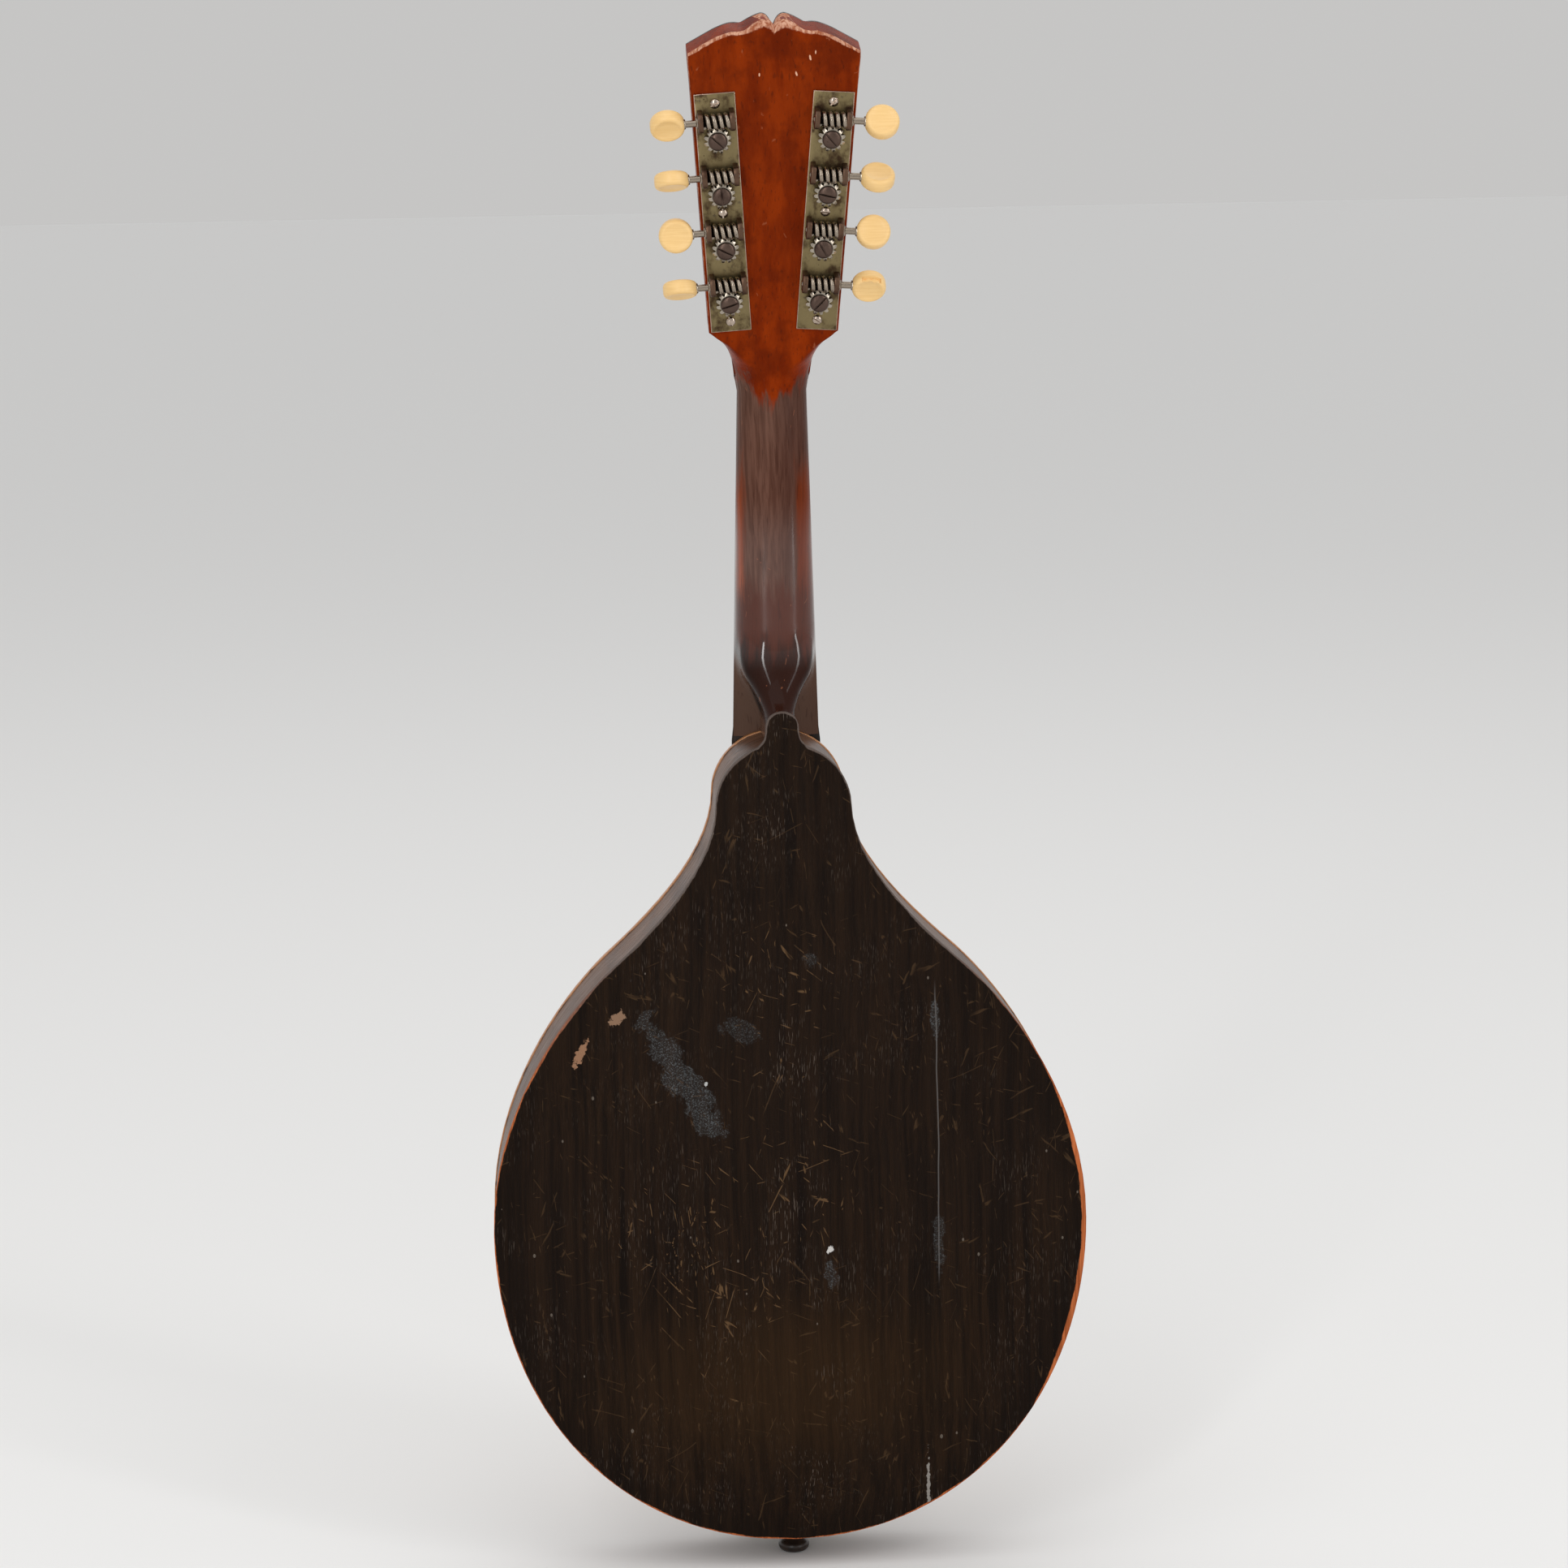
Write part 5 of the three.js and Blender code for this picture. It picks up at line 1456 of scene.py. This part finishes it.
for label, side in SIDES.items():
    strip = bmesh.new()
    brick(strip, (-STRIP_HALF, STRIP_HALF), (0.02, STRIP_THICK), (0, STRIP_LENGTH))
    ease_edges(strip, 0.22, degrees=50, segments=2)
    piece = add_piece(f"tuner_strip_{label}", strip, plate_metal, "instrument",
                      [f"tuner_plate_{label}"], place=strip_frame(side))
    cut_away(piece, strip_windows(), place=strip_frame(side))
    into_strip = strip_frame(side).inverted()
    note(piece, "edge", lambda v: rim_distance(into_strip @ v))
    bent = bmesh.new()
    for z in GEAR_STATIONS:
        for x in (-TAB_X, TAB_X):
            add_tab(bent, x, z + CENTRE_DISTANCE)
    add_piece(f"worm_tabs_{label}", bent, tab_metal, "instrument",
              place=strip_frame(side))
    # A thin dark sheet in each window: painted shade under the worm, along with greasy dirt.
    shade_and_grease_sheet = bmesh.new()
    for z in GEAR_STATIONS:
        worm_z = z + CENTRE_DISTANCE
        brick(shade_and_grease_sheet, (-WINDOW_HALF + 0.05, WINDOW_HALF - 0.05), (0.03, 0.3),
              (worm_z + WINDOW_LOW + 0.05, worm_z + WINDOW_HIGH - 0.05))
    ease_edges(shade_and_grease_sheet, 0.1, degrees=50, segments=1)
    add_piece(f"worm_shade_and_grease_{label}", shade_and_grease_sheet, shade_and_grease_finish, "instrument",
              place=strip_frame(side))

# %% [markdown]
# ### Screws
# A screw head is turned as a low dome and its slot is cut with a thin block. Small ones hold the
# strips; a larger one sits on each gear and turns with it, so it rides on the post's body.

# %% Slotted screws
def screw_drawing(radius, rise, seat, shank, slot_width, slot_depth):
    """A domed head from y = seat up, with its shank below; the slot runs along z."""
    bm = bmesh.new()
    dome = [(radius * math.sin(math.radians(a)), seat + 0.35 + rise * math.cos(math.radians(a)))
            for a in (0, 18, 36, 52, 66, 78, 90)]
    shape = dome + [(radius, seat), (shank, seat), (shank, -5.5), (0.25, -7.0), (0, -7.0)]
    turned(bm, shape, 32)
    head = into_scene("screw", as_mesh("screw", bm))
    blade = bmesh.new()
    top_y = seat + 0.35 + rise
    brick(blade, (-slot_width / 2, slot_width / 2), (top_y - slot_depth, top_y + 2),
          (-radius - 1, radius + 1))
    bmesh.ops.transform(blade, matrix=Matrix.Scale(1 / MM, 4), verts=blade.verts)
    cut_away(head, blade)
    result = head.data
    bpy.data.objects.remove(head)
    return result


small_screw = screw_drawing(2.05, 1.1, STRIP_THICK, 1.0, 0.6, 1.0)
gear_screw = screw_drawing(3.8, 1.2, WORM_HEIGHT + 1.2, 1.2, 0.85, 1.35)
PLATE_SLOTS = {"treble": (20, 0, 115), "bass": (60, 90, -40)}
GEAR_SLOTS = {"treble": (-75, 60, 2, 45), "bass": (-40, 34, 80, 45)}


def turned_to(z, degrees):
    return Matrix.Translation((0, 0, z)) @ Matrix.Rotation(math.radians(degrees), 4, "Y")


for label, side in SIDES.items():
    for k, z in enumerate(SCREW_STATIONS):
        drawing = from_drawing(small_screw, turned_to(z, PLATE_SLOTS[label][k]))
        add_piece(f"strip_screw_{label}_{k + 1}", drawing, bright_screw, "instrument",
                  [f"plate_screw_{label}_{k + 1}"], place=strip_frame(side))

# %% [markdown]
# ### Worms and shafts
# The thread is a rounded ridge swept along a helix: a spin that also moves along its axis at each
# step. It stands on a plain core that runs on as the shaft, through both tabs, out to the button.

# %% Worms
WORM_PITCH, WORM_TURNS, TURN_STEPS = 2.66, 3.9, 26
RIDGE = [(-0.98, 1.7), (-0.98, 2.6), (-0.86, 3.1), (-0.52, 3.42), (0, 3.54), (0.52, 3.42), (0.86, 3.1),
         (0.98, 2.6), (0.98, 1.7)]
SHAFT_R, BUTTON_X = 1.45, 20.0


def worm_drawing():
    bm = bmesh.new()
    start = -WORM_TURNS / 2
    angle = -math.pi / 2 + 2 * math.pi * start
    radial = Vector((0, math.cos(angle), math.sin(angle)))
    verts = [bm.verts.new(radial * r + Vector((WORM_PITCH * start + dx, 0, 0))) for dx, r in RIDGE]
    ring = [bm.edges.new(pair) for pair in zip(verts, verts[1:] + verts[:1])]
    bmesh.ops.contextual_create(bm, geom=ring)
    steps = round(WORM_TURNS * TURN_STEPS)
    bmesh.ops.spin(
        bm, geom=bm.faces[:], cent=(0, 0, 0), axis=(1, 0, 0),
        dvec=(WORM_PITCH * WORM_TURNS / steps, 0, 0), angle=2 * math.pi * WORM_TURNS,
        steps=steps, use_merge=False, use_duplicate=False,
    )
    bmesh.ops.recalc_face_normals(bm, faces=bm.faces)
    rod(bm, 1.9, (-5.4, 0, 0), (5.4, 0, 0), sides=28)
    core = [(0, -8.0), (0.9, -8.0), (1.35, -7.6), (SHAFT_R, -7.2), (SHAFT_R, 17.9), (0, 17.9)]
    turned(bm, core, 24, axis=(1, 0, 0), across=(0, 1, 0))
    collar = [(0, 7.2), (2.3, 7.2), (2.3, 8.0), (1.9, 8.3), (0, 8.3)]
    turned(bm, collar, 24, axis=(1, 0, 0), across=(0, 1, 0))
    hub = [(0, 12.6), (1.9, 12.6), (2.15, 13.0), (2.15, 14.2), (0, 14.2)]
    turned(bm, hub, 24, axis=(1, 0, 0), across=(0, 1, 0))
    return as_mesh("worm", bm)


def crevice(local):
    """How deep a point lies below the thread's crest; the shaft outside the tabs is not counted."""
    return max(0.0, 3.5 - math.hypot(local.y, local.z)) if abs(local.x) < 5.6 else 0.6


worm_mesh = worm_drawing()
print("worm faces", len(worm_mesh.polygons))

# %% [markdown]
# ### Gears and posts
# A gear starts as a circle whose points are pushed out at each tooth. It sits on the post that
# carries the string; the post has a waist for the string and a rounded tip.

# %% Gears and posts
TEETH, GEAR_TIP_R, GEAR_ROOT_R, GEAR_FACE = 12, 5.65, 4.25, 2.4
POST_R, POST_REACH = 3.0, 12.0
TOOTH = (0.0, 0.1, 0.8, 1.0, 1.0, 1.0, 0.8, 0.1)


def gear_drawing():
    """The toothed rim slopes back toward its tips, so that the upper teeth catch the light."""
    bm = bmesh.new()
    count = len(TOOTH) * TEETH

    def rim(y, reach, shrink=0.0):
        ring = []
        for i in range(count):
            angle = 2 * math.pi * (i - 0.5) / count
            tip = GEAR_ROOT_R + (GEAR_TIP_R - GEAR_ROOT_R) * TOOTH[i % len(TOOTH)] - shrink
            radius = tip if reach is None else reach
            slope = 0.62 * (radius - 3.6) if shrink else 0.0
            ring.append(Vector((radius * math.sin(angle), y - slope, radius * math.cos(angle))))
        return ring

    low, high = WORM_HEIGHT - GEAR_FACE / 2, WORM_HEIGHT + GEAR_FACE / 2
    skin(bm, [rim(low, None), rim(high - 1.35, None), rim(high, None, 0.12), rim(high, 3.6)])
    foot = -HEAD_THICKNESS - POST_REACH
    shape = [(0, foot), (1.6, foot), (2.5, foot + 0.35), (POST_R, foot + 1.1), (POST_R, foot + 4.2),
             (2.5, foot + 5.0), (2.35, foot + 6.0), (2.5, foot + 7.0), (POST_R, foot + 7.8),
             (POST_R, WORM_HEIGHT), (0, WORM_HEIGHT)]
    turned(bm, shape, 28)
    return as_mesh("gear", bm)


def tooth_depth(local):
    """How far a point of the gear lies inside its tips; the post is left out."""
    return max(0.0, GEAR_TIP_R - math.hypot(local.x, local.z)) if local.y > 3 else 0.8


gear_mesh = gear_drawing()

# %% [markdown]
# ### Buttons
# The buttons are turned discs of yellowed ivoroid with a shallow dish in each face. One has lost a
# flake from its edge. They stand at the odd angles that tuning has left them in.

# %% Buttons
BUTTON_R = 7.1
BUTTON_TURNS = {"treble": (-57, 10, -57, -29), "bass": (23, -35, -69, -42)}
DISH = [(0, 2.3), (2.0, 2.35), (3.8, 2.5), (4.7, 2.75), (5.3, 3.0), (5.8, 3.05), (6.4, 2.75), (6.85, 2.2),
        (7.05, 1.5), (BUTTON_R, 0.0)]


def button_drawing(turn):
    bm = bmesh.new()
    turned(bm, DISH + [(r, -h) for r, h in reversed(DISH[:-1])], 48)
    bmesh.ops.rotate(bm, matrix=Matrix.Rotation(math.radians(turn), 3, "X"), verts=bm.verts)
    bmesh.ops.translate(bm, vec=(BUTTON_X, 0, 0), verts=bm.verts)
    return bm


GAUGES = {"bass": (("g_1", 0.5), ("g_2", 0.5), ("d_1", 0.33), ("d_2", 0.33)),
          "treble": (("e_1", 0.16), ("e_2", 0.16), ("a_1", 0.2), ("a_2", 0.2))}
for label, side in SIDES.items():
    facing = Matrix.Rotation(math.pi, 4, "Z") if side < 0 else UPRIGHT
    for k, z in enumerate(GEAR_STATIONS):
        body, post = f"tuner_{label}_{k + 1}", f"post_{label}_{k + 1}"
        at_worm = strip_frame(side) @ Matrix.Translation((0, WORM_HEIGHT, z + CENTRE_DISTANCE)) @ facing
        worm = add_piece(f"worm_{label}_{k + 1}", from_drawing(worm_mesh, UPRIGHT), worm_metal, body,
                         [f"worm_shaft_{label}_{k + 1}"], place=at_worm)
        into_worm = at_worm.inverted()
        note(worm, "edge", lambda v: crevice(into_worm @ v))
        knob = add_piece(f"button_{label}_{k + 1}", button_drawing(BUTTON_TURNS[label][k]), ivoroid, body,
                         [f"tuner_button_{label}_{k + 1}"], place=at_worm, sharp=60)
        if body == "tuner_bass_1":
            flake = bmesh.new()
            verts = brick(flake, (BUTTON_X - 3.5, BUTTON_X + 4.5), (-5.2, -1.2), (4.9, 9))
            bmesh.ops.subdivide_edges(flake, edges=flake.edges[:], cuts=5, use_grid_fill=True)
            for vert in flake.verts:
                vert.co.z += 0.5 * math.sin(2.1 * vert.co.x + vert.co.y) + 0.3 * math.sin(5.3 * vert.co.x)
            turn = Matrix.Rotation(math.radians(BUTTON_TURNS[label][k]), 4, "X")
            cut_away(knob, flake, place=at_worm @ turn, sharp=30)
        at_post = strip_frame(side) @ Matrix.Translation((0, 0, z))
        gear = add_piece(f"gear_{label}_{k + 1}", from_drawing(gear_mesh, UPRIGHT), gear_metal, post,
                         [f"gear_post_{label}_{k + 1}"], place=at_post)
        into_gear = at_post.inverted()
        note(gear, "edge", lambda v: tooth_depth(into_gear @ v))
        cap = from_drawing(gear_screw, Matrix.Rotation(math.radians(GEAR_SLOTS[label][k]), 4, "Y"))
        bmesh.ops.delete(cap, geom=[v for v in cap.verts if v.co.y < 0], context="VERTS")
        bmesh.ops.holes_fill(cap, edges=[e for e in cap.edges if e.is_boundary], sides=0)
        add_piece(f"gear_screw_{label}_{k + 1}", cap, screw_metal, post, place=at_post)

# %% [markdown]
# ## Playing side
# The fingerboard is a thin tapering board, slightly crowned, that runs on past the neck over the
# top. Each fret is a low half-round wire across it. Both are rows of closed rings joined into a
# skin, so that the frets follow the crown of the board exactly.

# %% Fingerboard
BOARD, BOARD_LENGTH, SCALE_LENGTH = 4.0, 216.0 / math.cos(math.radians(NECK_PITCH)), 340.0
FRETS, DOTS = 17, (5, 7, 10, 12, 15)


def board_half(z):
    return NUT_HALF + (JOINT_HALF - NUT_HALF) * max(z, BODY_TOP) / BODY_TOP


def board_top(share):
    return -BOARD + 0.5 * max(0.0, abs(share) - 0.3) ** 2 / 0.49


def board_ring(z, flare):
    half = board_half(z) + flare
    shares = [i / 8 for i in range(8, -9, -1)]
    edge = [Vector((half, -0.03, z)), Vector((half, -2.2, z))]
    crown = [Vector((half * s * 0.985, board_top(s), z)) for s in shares]
    return edge + crown + [Vector((-v.x, v.y, v.z)) for v in reversed(edge)]


board = bmesh.new()
skin(board, [board_ring(0, 0), board_ring(-70, 0), board_ring(BODY_TOP, 0), board_ring(BODY_TOP - 6, 0.7),
             board_ring(-BOARD_LENGTH + 0.6, 1.0), board_ring(-BOARD_LENGTH, 0.6)])
add_piece("fingerboard_wood", board, ebony, "instrument", ["fingerboard"], place=NECK, sharp=30)
print("frets at", [round(SCALE_LENGTH * (1 - 2 ** (-n / 12)), 1) for n in range(1, FRETS + 1)])

# %% Frets and position dots
FRET_HALF, FRET_TALL = 0.55, 0.85
wires = bmesh.new()
for number in range(1, FRETS + 1):
    z = -SCALE_LENGTH * (1 - 2 ** (-number / 12))
    rows = []
    for i in range(-10, 11):
        share = i / 10
        low = 0.55 if abs(i) == 10 else 1.0
        x = share * (board_half(z) - 0.35)
        angles = [math.radians(a) for a in range(0, 181, 30)]
        bow = [Vector((x * (0.985 if low < 1 else 1), board_top(share) - FRET_TALL * low * math.sin(a),
                       z + FRET_HALF * low * math.cos(a))) for a in angles]
        foot = board_top(share) + 0.4
        rows.append(bow + [Vector((x, foot, z - FRET_HALF * low)), Vector((x, foot, z + FRET_HALF * low))])
    one = bmesh.new()
    skin(one, rows)
    pour(one, wires)
add_piece("fret_wires", wires, fret_metal, "instrument", place=NECK, sharp=50)

dots = bmesh.new()
for number in DOTS:
    z = -SCALE_LENGTH * (1 - 2 ** (-(number - 0.5) / 12))
    apart = (-5.0, 5.0) if number == 12 else (0.0,)
    for x in apart:
        turned(dots, [(0, 3.4), (2.6, 3.4), (2.6, 4.0), (2.45, 4.05), (0, 4.06)], 28, axis=(0, -1, 0),
               centre=(x, 0, z))
add_piece("position_dots", dots, pearl, "instrument", place=NECK, sharp=50)

# %% [markdown]
# ### Nut
# The bone nut is a small block, rounded toward the headstock, with eight notches filed in pairs.

# %% Nut
NUT_TOP, NUT_LENGTH = 5.2, 4.6
NUT_X, BRIDGE_X, TAIL_X = (11.7, 9.5, 4.6, 2.4), (20.0, 17.6, 7.6, 5.2), (13.4, 11.0, 5.0, 2.6)
nut_side = [Vector((-0.05, 0.05)), Vector((-NUT_TOP, 0.05))]
nut_side += quadratic((-NUT_TOP + 0.1, 0.6), (-NUT_TOP + 0.1, NUT_LENGTH), (-2.6, NUT_LENGTH), 8)
nut_side += [Vector((-0.05, NUT_LENGTH))]


def across(bm, line, half):
    """A closed line in y and z, filled and spread evenly to both sides of the middle plane."""
    loop = loop_of(bm, [Vector((-half, p.x, p.y)) for p in line])
    flat = bmesh.ops.contextual_create(bm, geom=loop)["faces"]
    made = bmesh.ops.extrude_face_region(bm, geom=flat)["geom"]
    bmesh.ops.translate(bm, vec=(2 * half, 0, 0), verts=only(bmesh.types.BMVert, made))
    tidy(bm)


nut_block = bmesh.new()
across(nut_block, nut_side, NUT_HALF)
ease_edges(nut_block, 0.35, degrees=50, segments=3)
nut = add_piece("bone_nut", nut_block, bone, "instrument", ["nut"], place=NECK, sharp=40)
notches = bmesh.new()
for side in SIDES.values():
    for i, x in enumerate(NUT_X):
        radius = max([g for _, g in GAUGES["treble" if side > 0 else "bass"]][i], 0.24)
        rod(notches, radius, (side * x, -NUT_TOP - 0.12, -2), (side * x, -NUT_TOP + 0.25, 7), sides=12)
cut_away(nut, notches, place=NECK, sharp=40)

# %% [markdown]
# ### Bridge
# The bridge is a long low ebony base whose feet follow the arch of the top, and a saddle held above
# it on two metal thumb wheels. Both are skins over cross-sections taken along their length.

# %% Bridge
BRIDGE_DROP = 9.2
bridge_point = NECK @ Vector((0, -BRIDGE_DROP, -SCALE_LENGTH))
outline_angles = sorted((math.atan2(p.x, p.y - BODY_CENTRE), math.hypot(p.x, p.y - BODY_CENTRE))
                        for p in body_outline)


def top_surface(x, z):
    """Height of the carved top over a point, read from the arch the plate was made with."""
    reach = along(outline_angles, math.atan2(x, z - BODY_CENTRE))
    return FRONT_Y - eased(TOP_ARCH, math.hypot(x, z - BODY_CENTRE) / reach)


def both_ways(stations_out):
    """The same stations on both sides of the middle, from one end to the other."""
    return [-x for x in reversed(stations_out)] + [0] + list(stations_out)


def base_section(x):
    tall = 2.2 + 3.3 * (1 - smoothstep(44, 56, abs(x)))
    hollow = 1.6 * (1 - smoothstep(20, 25, abs(x)))
    near, far = top_surface(x, bridge_point.z + 6), top_surface(x, bridge_point.z - 6)
    crest_y = min(near, far) - 0.35 - tall
    line = [(-6, far - 0.3 - hollow), (-5.6, far - 1.5 - hollow * 0.6), (-3.5, crest_y + 0.5),
            (-2.9, crest_y), (2.9, crest_y), (3.5, crest_y + 0.5), (5.6, near - 1.5 - hollow * 0.6),
            (6, near - 0.3 - hollow)]
    return [Vector((x, y, bridge_point.z + z)) for z, y in line]


base = bmesh.new()
skin(base, [base_section(x) for x in both_ways((12, 20, 23, 26, 32, 38, 44, 48, 52, 55, 56))])
add_piece("bridge_foot", base, ebony_across, "instrument", ["bridge_base"], sharp=35)

SADDLE_HALF = 42.0
saddle_foot = top_surface(0, bridge_point.z) - 7.2


def saddle_section(x):
    crown = bridge_point.y + 2.4 * smoothstep(34, SADDLE_HALF, abs(x))
    foot = saddle_foot - 0.8 * smoothstep(30, SADDLE_HALF, abs(x))
    waist = (foot + crown) / 2 - 0.6
    line = [(-3, foot), (-3, foot - 2.0), (-1.5, waist), (-0.9, crown + 0.3), (-0.4, crown),
            (0.4, crown), (0.9, crown + 0.3), (1.5, waist), (3, foot - 2.0), (3, foot)]
    return [Vector((x, y, bridge_point.z + z)) for z, y in line]


saddle = bmesh.new()
skin(saddle, [saddle_section(x) for x in both_ways((10, 20, 28, 34, 38, 41, 42))])
add_piece("bridge_saddle_top", saddle, ebony_across, "instrument", ["bridge_saddle"], sharp=35)

wheels = bmesh.new()
wheel_y = (base_section(30)[3].y + saddle_foot) / 2
for x in (-30, 30):
    turned(wheels, [(0, 0.55), (4.2, 0.55), (4.7, 0.35), (4.7, -0.35), (4.2, -0.55), (0, -0.55)], 36,
           centre=(x, wheel_y, bridge_point.z))
    rod(wheels, 1.2, (x, wheel_y + 3, bridge_point.z), (x, wheel_y - 2.5, bridge_point.z))
add_piece("thumb_wheels", wheels, tail_metal, "instrument", sharp=40)
print("bridge", [round(v, 1) for v in bridge_point], "wheels at", round(wheel_y, 1))

# %% [markdown]
# ## Tail
# The tailpiece is a plate bent over the tail edge. Its upper end stands clear of the top and turns
# up to carry hooks for the loop ends of the strings. A pressed cover slides over it. The end pin is
# turned from dark horn, and it is the only part of the tail seen from behind.

# %% Tailpiece
TAIL_EDGE, TAIL_HALF = FRONT_Y - 0.3, 17.4
TAIL_HOOK = Vector((0, -21.4, -469))
sheet_line = [(4, -496.9), (TAIL_EDGE, -496.9), (TAIL_EDGE, -488), (TAIL_EDGE - 5, -460),
              (TAIL_EDGE - 8.7, -460.2), (TAIL_EDGE - 8.7, -461.4), (TAIL_EDGE - 6.2, -461.4),
              (TAIL_EDGE - 1.2, -488.2),
              (TAIL_EDGE - 1.2, -498.1), (4, -498.1)]
bent_plate = bmesh.new()
across(bent_plate, [Vector(p) for p in sheet_line], TAIL_HALF)
ease_edges(bent_plate, 0.3, degrees=30, segments=2)
add_piece("tail_plate", bent_plate, tail_metal, "instrument", ["tailpiece_base"], sharp=40)

hooks = bmesh.new()
for side in SIDES.values():
    for x in TAIL_X:
        rod(hooks, 0.75, (side * x, -16.4, -471.0), (side * x, -22.4, -472.4), sides=14)
        tip = Matrix.Translation((side * x, -22.5, -472.4))
        bmesh.ops.create_uvsphere(hooks, u_segments=14, v_segments=8, radius=1.0, matrix=tip)
    holder = from_drawing(small_screw, Matrix.Translation((side * 11, -5, -497.1)) @
                          Matrix.Rotation(math.radians(-90), 4, "X"))
    pour(holder, hooks)
add_piece("tail_hooks", hooks, tail_metal, "instrument", sharp=40)

# %% Tailpiece cover
COVER_LEAN, COVER_LENGTH, COVER_THICK = 6.6, 41.0, 0.8
cover_place = Matrix.Translation((0, FRONT_Y - 0.45, BODY_BOTTOM - 0.7))
cover_place = cover_place @ Matrix.Rotation(math.radians(COVER_LEAN), 4, "X")
cover_side = quadratic((18.6, 0), (18.6, -8.4), (14.2, -8.4), 8)
cover_flat = [Vector((x, -8.4)) for x in (12, 10.5, 9, 4.5, 0)]
cover_half = chain(cover_side, [cover_side[-1]] + cover_flat)
cover_line = cover_half + [Vector((-p.x, p.y)) for p in reversed(cover_half[:-1])]


def cover_ring(z):
    lifted = smoothstep(4, 6.5, z) * (1 - smoothstep(34.5, 37, z))
    outer, inner = [], []
    for p in cover_line:
        lift = 0.55 * lifted * (1 - smoothstep(9, 12, abs(p.x)))
        outer.append(Vector((p.x, p.y - lift, z)))
        inner.append(Vector((p.x * (1 - COVER_THICK / 18.6), p.y * (1 - COVER_THICK / 8.4) - lift, z)))
    return outer + inner[::-1]


cover = bmesh.new()
skin(cover, [cover_ring(z) for z in (0, 0.4, 3, 4, 4.8, 5.6, 6.5, 12, 20, 28, 34.5, 35.4, 36.2, 37,
                                     38, 40.6, COVER_LENGTH)])
add_piece("pressed_cover", cover, tail_metal, "tail_cover", ["tailpiece_cover"],
          place=cover_place, sharp=40)

# %% End pin
PIN_Y = (FRONT_Y + BACK_Y) / 2
pin_line = [(0, 14), (2.8, 14), (3.3, 0.3), (4.7, 0.3)]
pin_line += [tuple(p) for p in quadratic((4.85, -0.4), (5.0, -2.6), (4.2, -3.6), 5)]
pin_line += [tuple(p) for p in quadratic((3.95, -4.6), (3.6, -6.4), (5.2, -8.0), 6)]
pin_line += [tuple(p) for p in quadratic((6.1, -8.7), (7.3, -10.2), (6.1, -11.9), 7)]
pin_line += [tuple(p) for p in quadratic((5.4, -12.5), (3.2, -12.9), (0, -12.6), 5)]
pin = bmesh.new()
turned(pin, pin_line, 44, axis=(0, 0, 1), centre=(0, PIN_Y, BODY_BOTTOM))
add_piece("horn_end_pin", pin, horn, "instrument", ["end_pin"], sharp=50)

# %% [markdown]
# ## Strings
# Each string is a thin tube pulled straight from the tailpiece over the saddle and the nut to its
# post. The two low courses are wound. The turns round a post are one circle swept along a helix,
# and they ride on the post, so that they turn with it.

# %% Strings
STRING_SIDES, COIL_STEPS = 8, 22


def tube(bm, points, radius):
    rows = []
    for i, point in enumerate(points):
        course = (points[min(i + 1, len(points) - 1)] - points[max(i - 1, 0)]).normalized()
        up = course.cross(Vector((1, 0, 0))).normalized()
        out = up.cross(course)
        turns = [2 * math.pi * n / STRING_SIDES for n in range(STRING_SIDES)]
        rows.append([point + (out * math.cos(a) + up * math.sin(a)) * radius for a in turns])
    skin(bm, rows)


def coil(bm, radius, around, turns):
    """Turns of string laid side by side round the y axis."""
    ring = bmesh.ops.create_circle(bm, segments=STRING_SIDES, radius=radius, cap_ends=True)["verts"]
    lift = (2 * radius + 0.03) * turns
    bmesh.ops.translate(bm, vec=(around, -lift / 2, 0), verts=ring)
    total = round(turns * COIL_STEPS)
    bmesh.ops.spin(bm, geom=bm.faces[:], cent=(0, 0, 0), axis=(0, 1, 0), dvec=(0, lift / total, 0),
                   angle=2 * math.pi * turns, steps=total, use_merge=False, use_duplicate=False)
    bmesh.ops.recalc_face_normals(bm, faces=bm.faces)


for label, side in SIDES.items():
    for i, (name, radius) in enumerate(GAUGES[label]):
        wire = wound_string if label == "bass" else plain_string
        waist = Vector((0, -HEAD_THICKNESS - 6, GEAR_STATIONS[i]))
        wound_r = 2.5 + radius
        lift = NUT_TOP + radius + 0.06
        path = [
            strip_frame(side) @ (waist + Vector((-side * wound_r, 0, 0))),
            NECK @ Vector((side * NUT_X[i], -lift, NUT_LENGTH * 0.45)),
            NECK @ Vector((side * NUT_X[i], -lift, 0)),
            Vector((side * BRIDGE_X[i], bridge_point.y - radius - 0.06, bridge_point.z)),
            Vector((side * TAIL_X[i], TAIL_HOOK.y, TAIL_HOOK.z)),
        ]
        string = bmesh.new()
        tube(string, path, radius)
        loop_turn = Matrix.Translation((side * TAIL_X[i], TAIL_HOOK.y, TAIL_HOOK.z - 3.0))
        loop_coil = bmesh.new()
        coil(loop_coil, radius, 1.6, 1.0)
        bmesh.ops.transform(loop_coil, matrix=loop_turn, verts=loop_coil.verts)
        pour(loop_coil, string)
        add_piece(f"wire_{name}", string, wire, "instrument", [f"string_{name}"], sharp=60)
        turns = bmesh.new()
        coil(turns, radius, wound_r, 3.5 if radius > 0.3 else 4.5)
        add_piece(f"string_turns_{label}_{i + 1}", turns, wire, f"post_{label}_{i + 1}",
                  place=strip_frame(side) @ Matrix.Translation(waist), sharp=60)
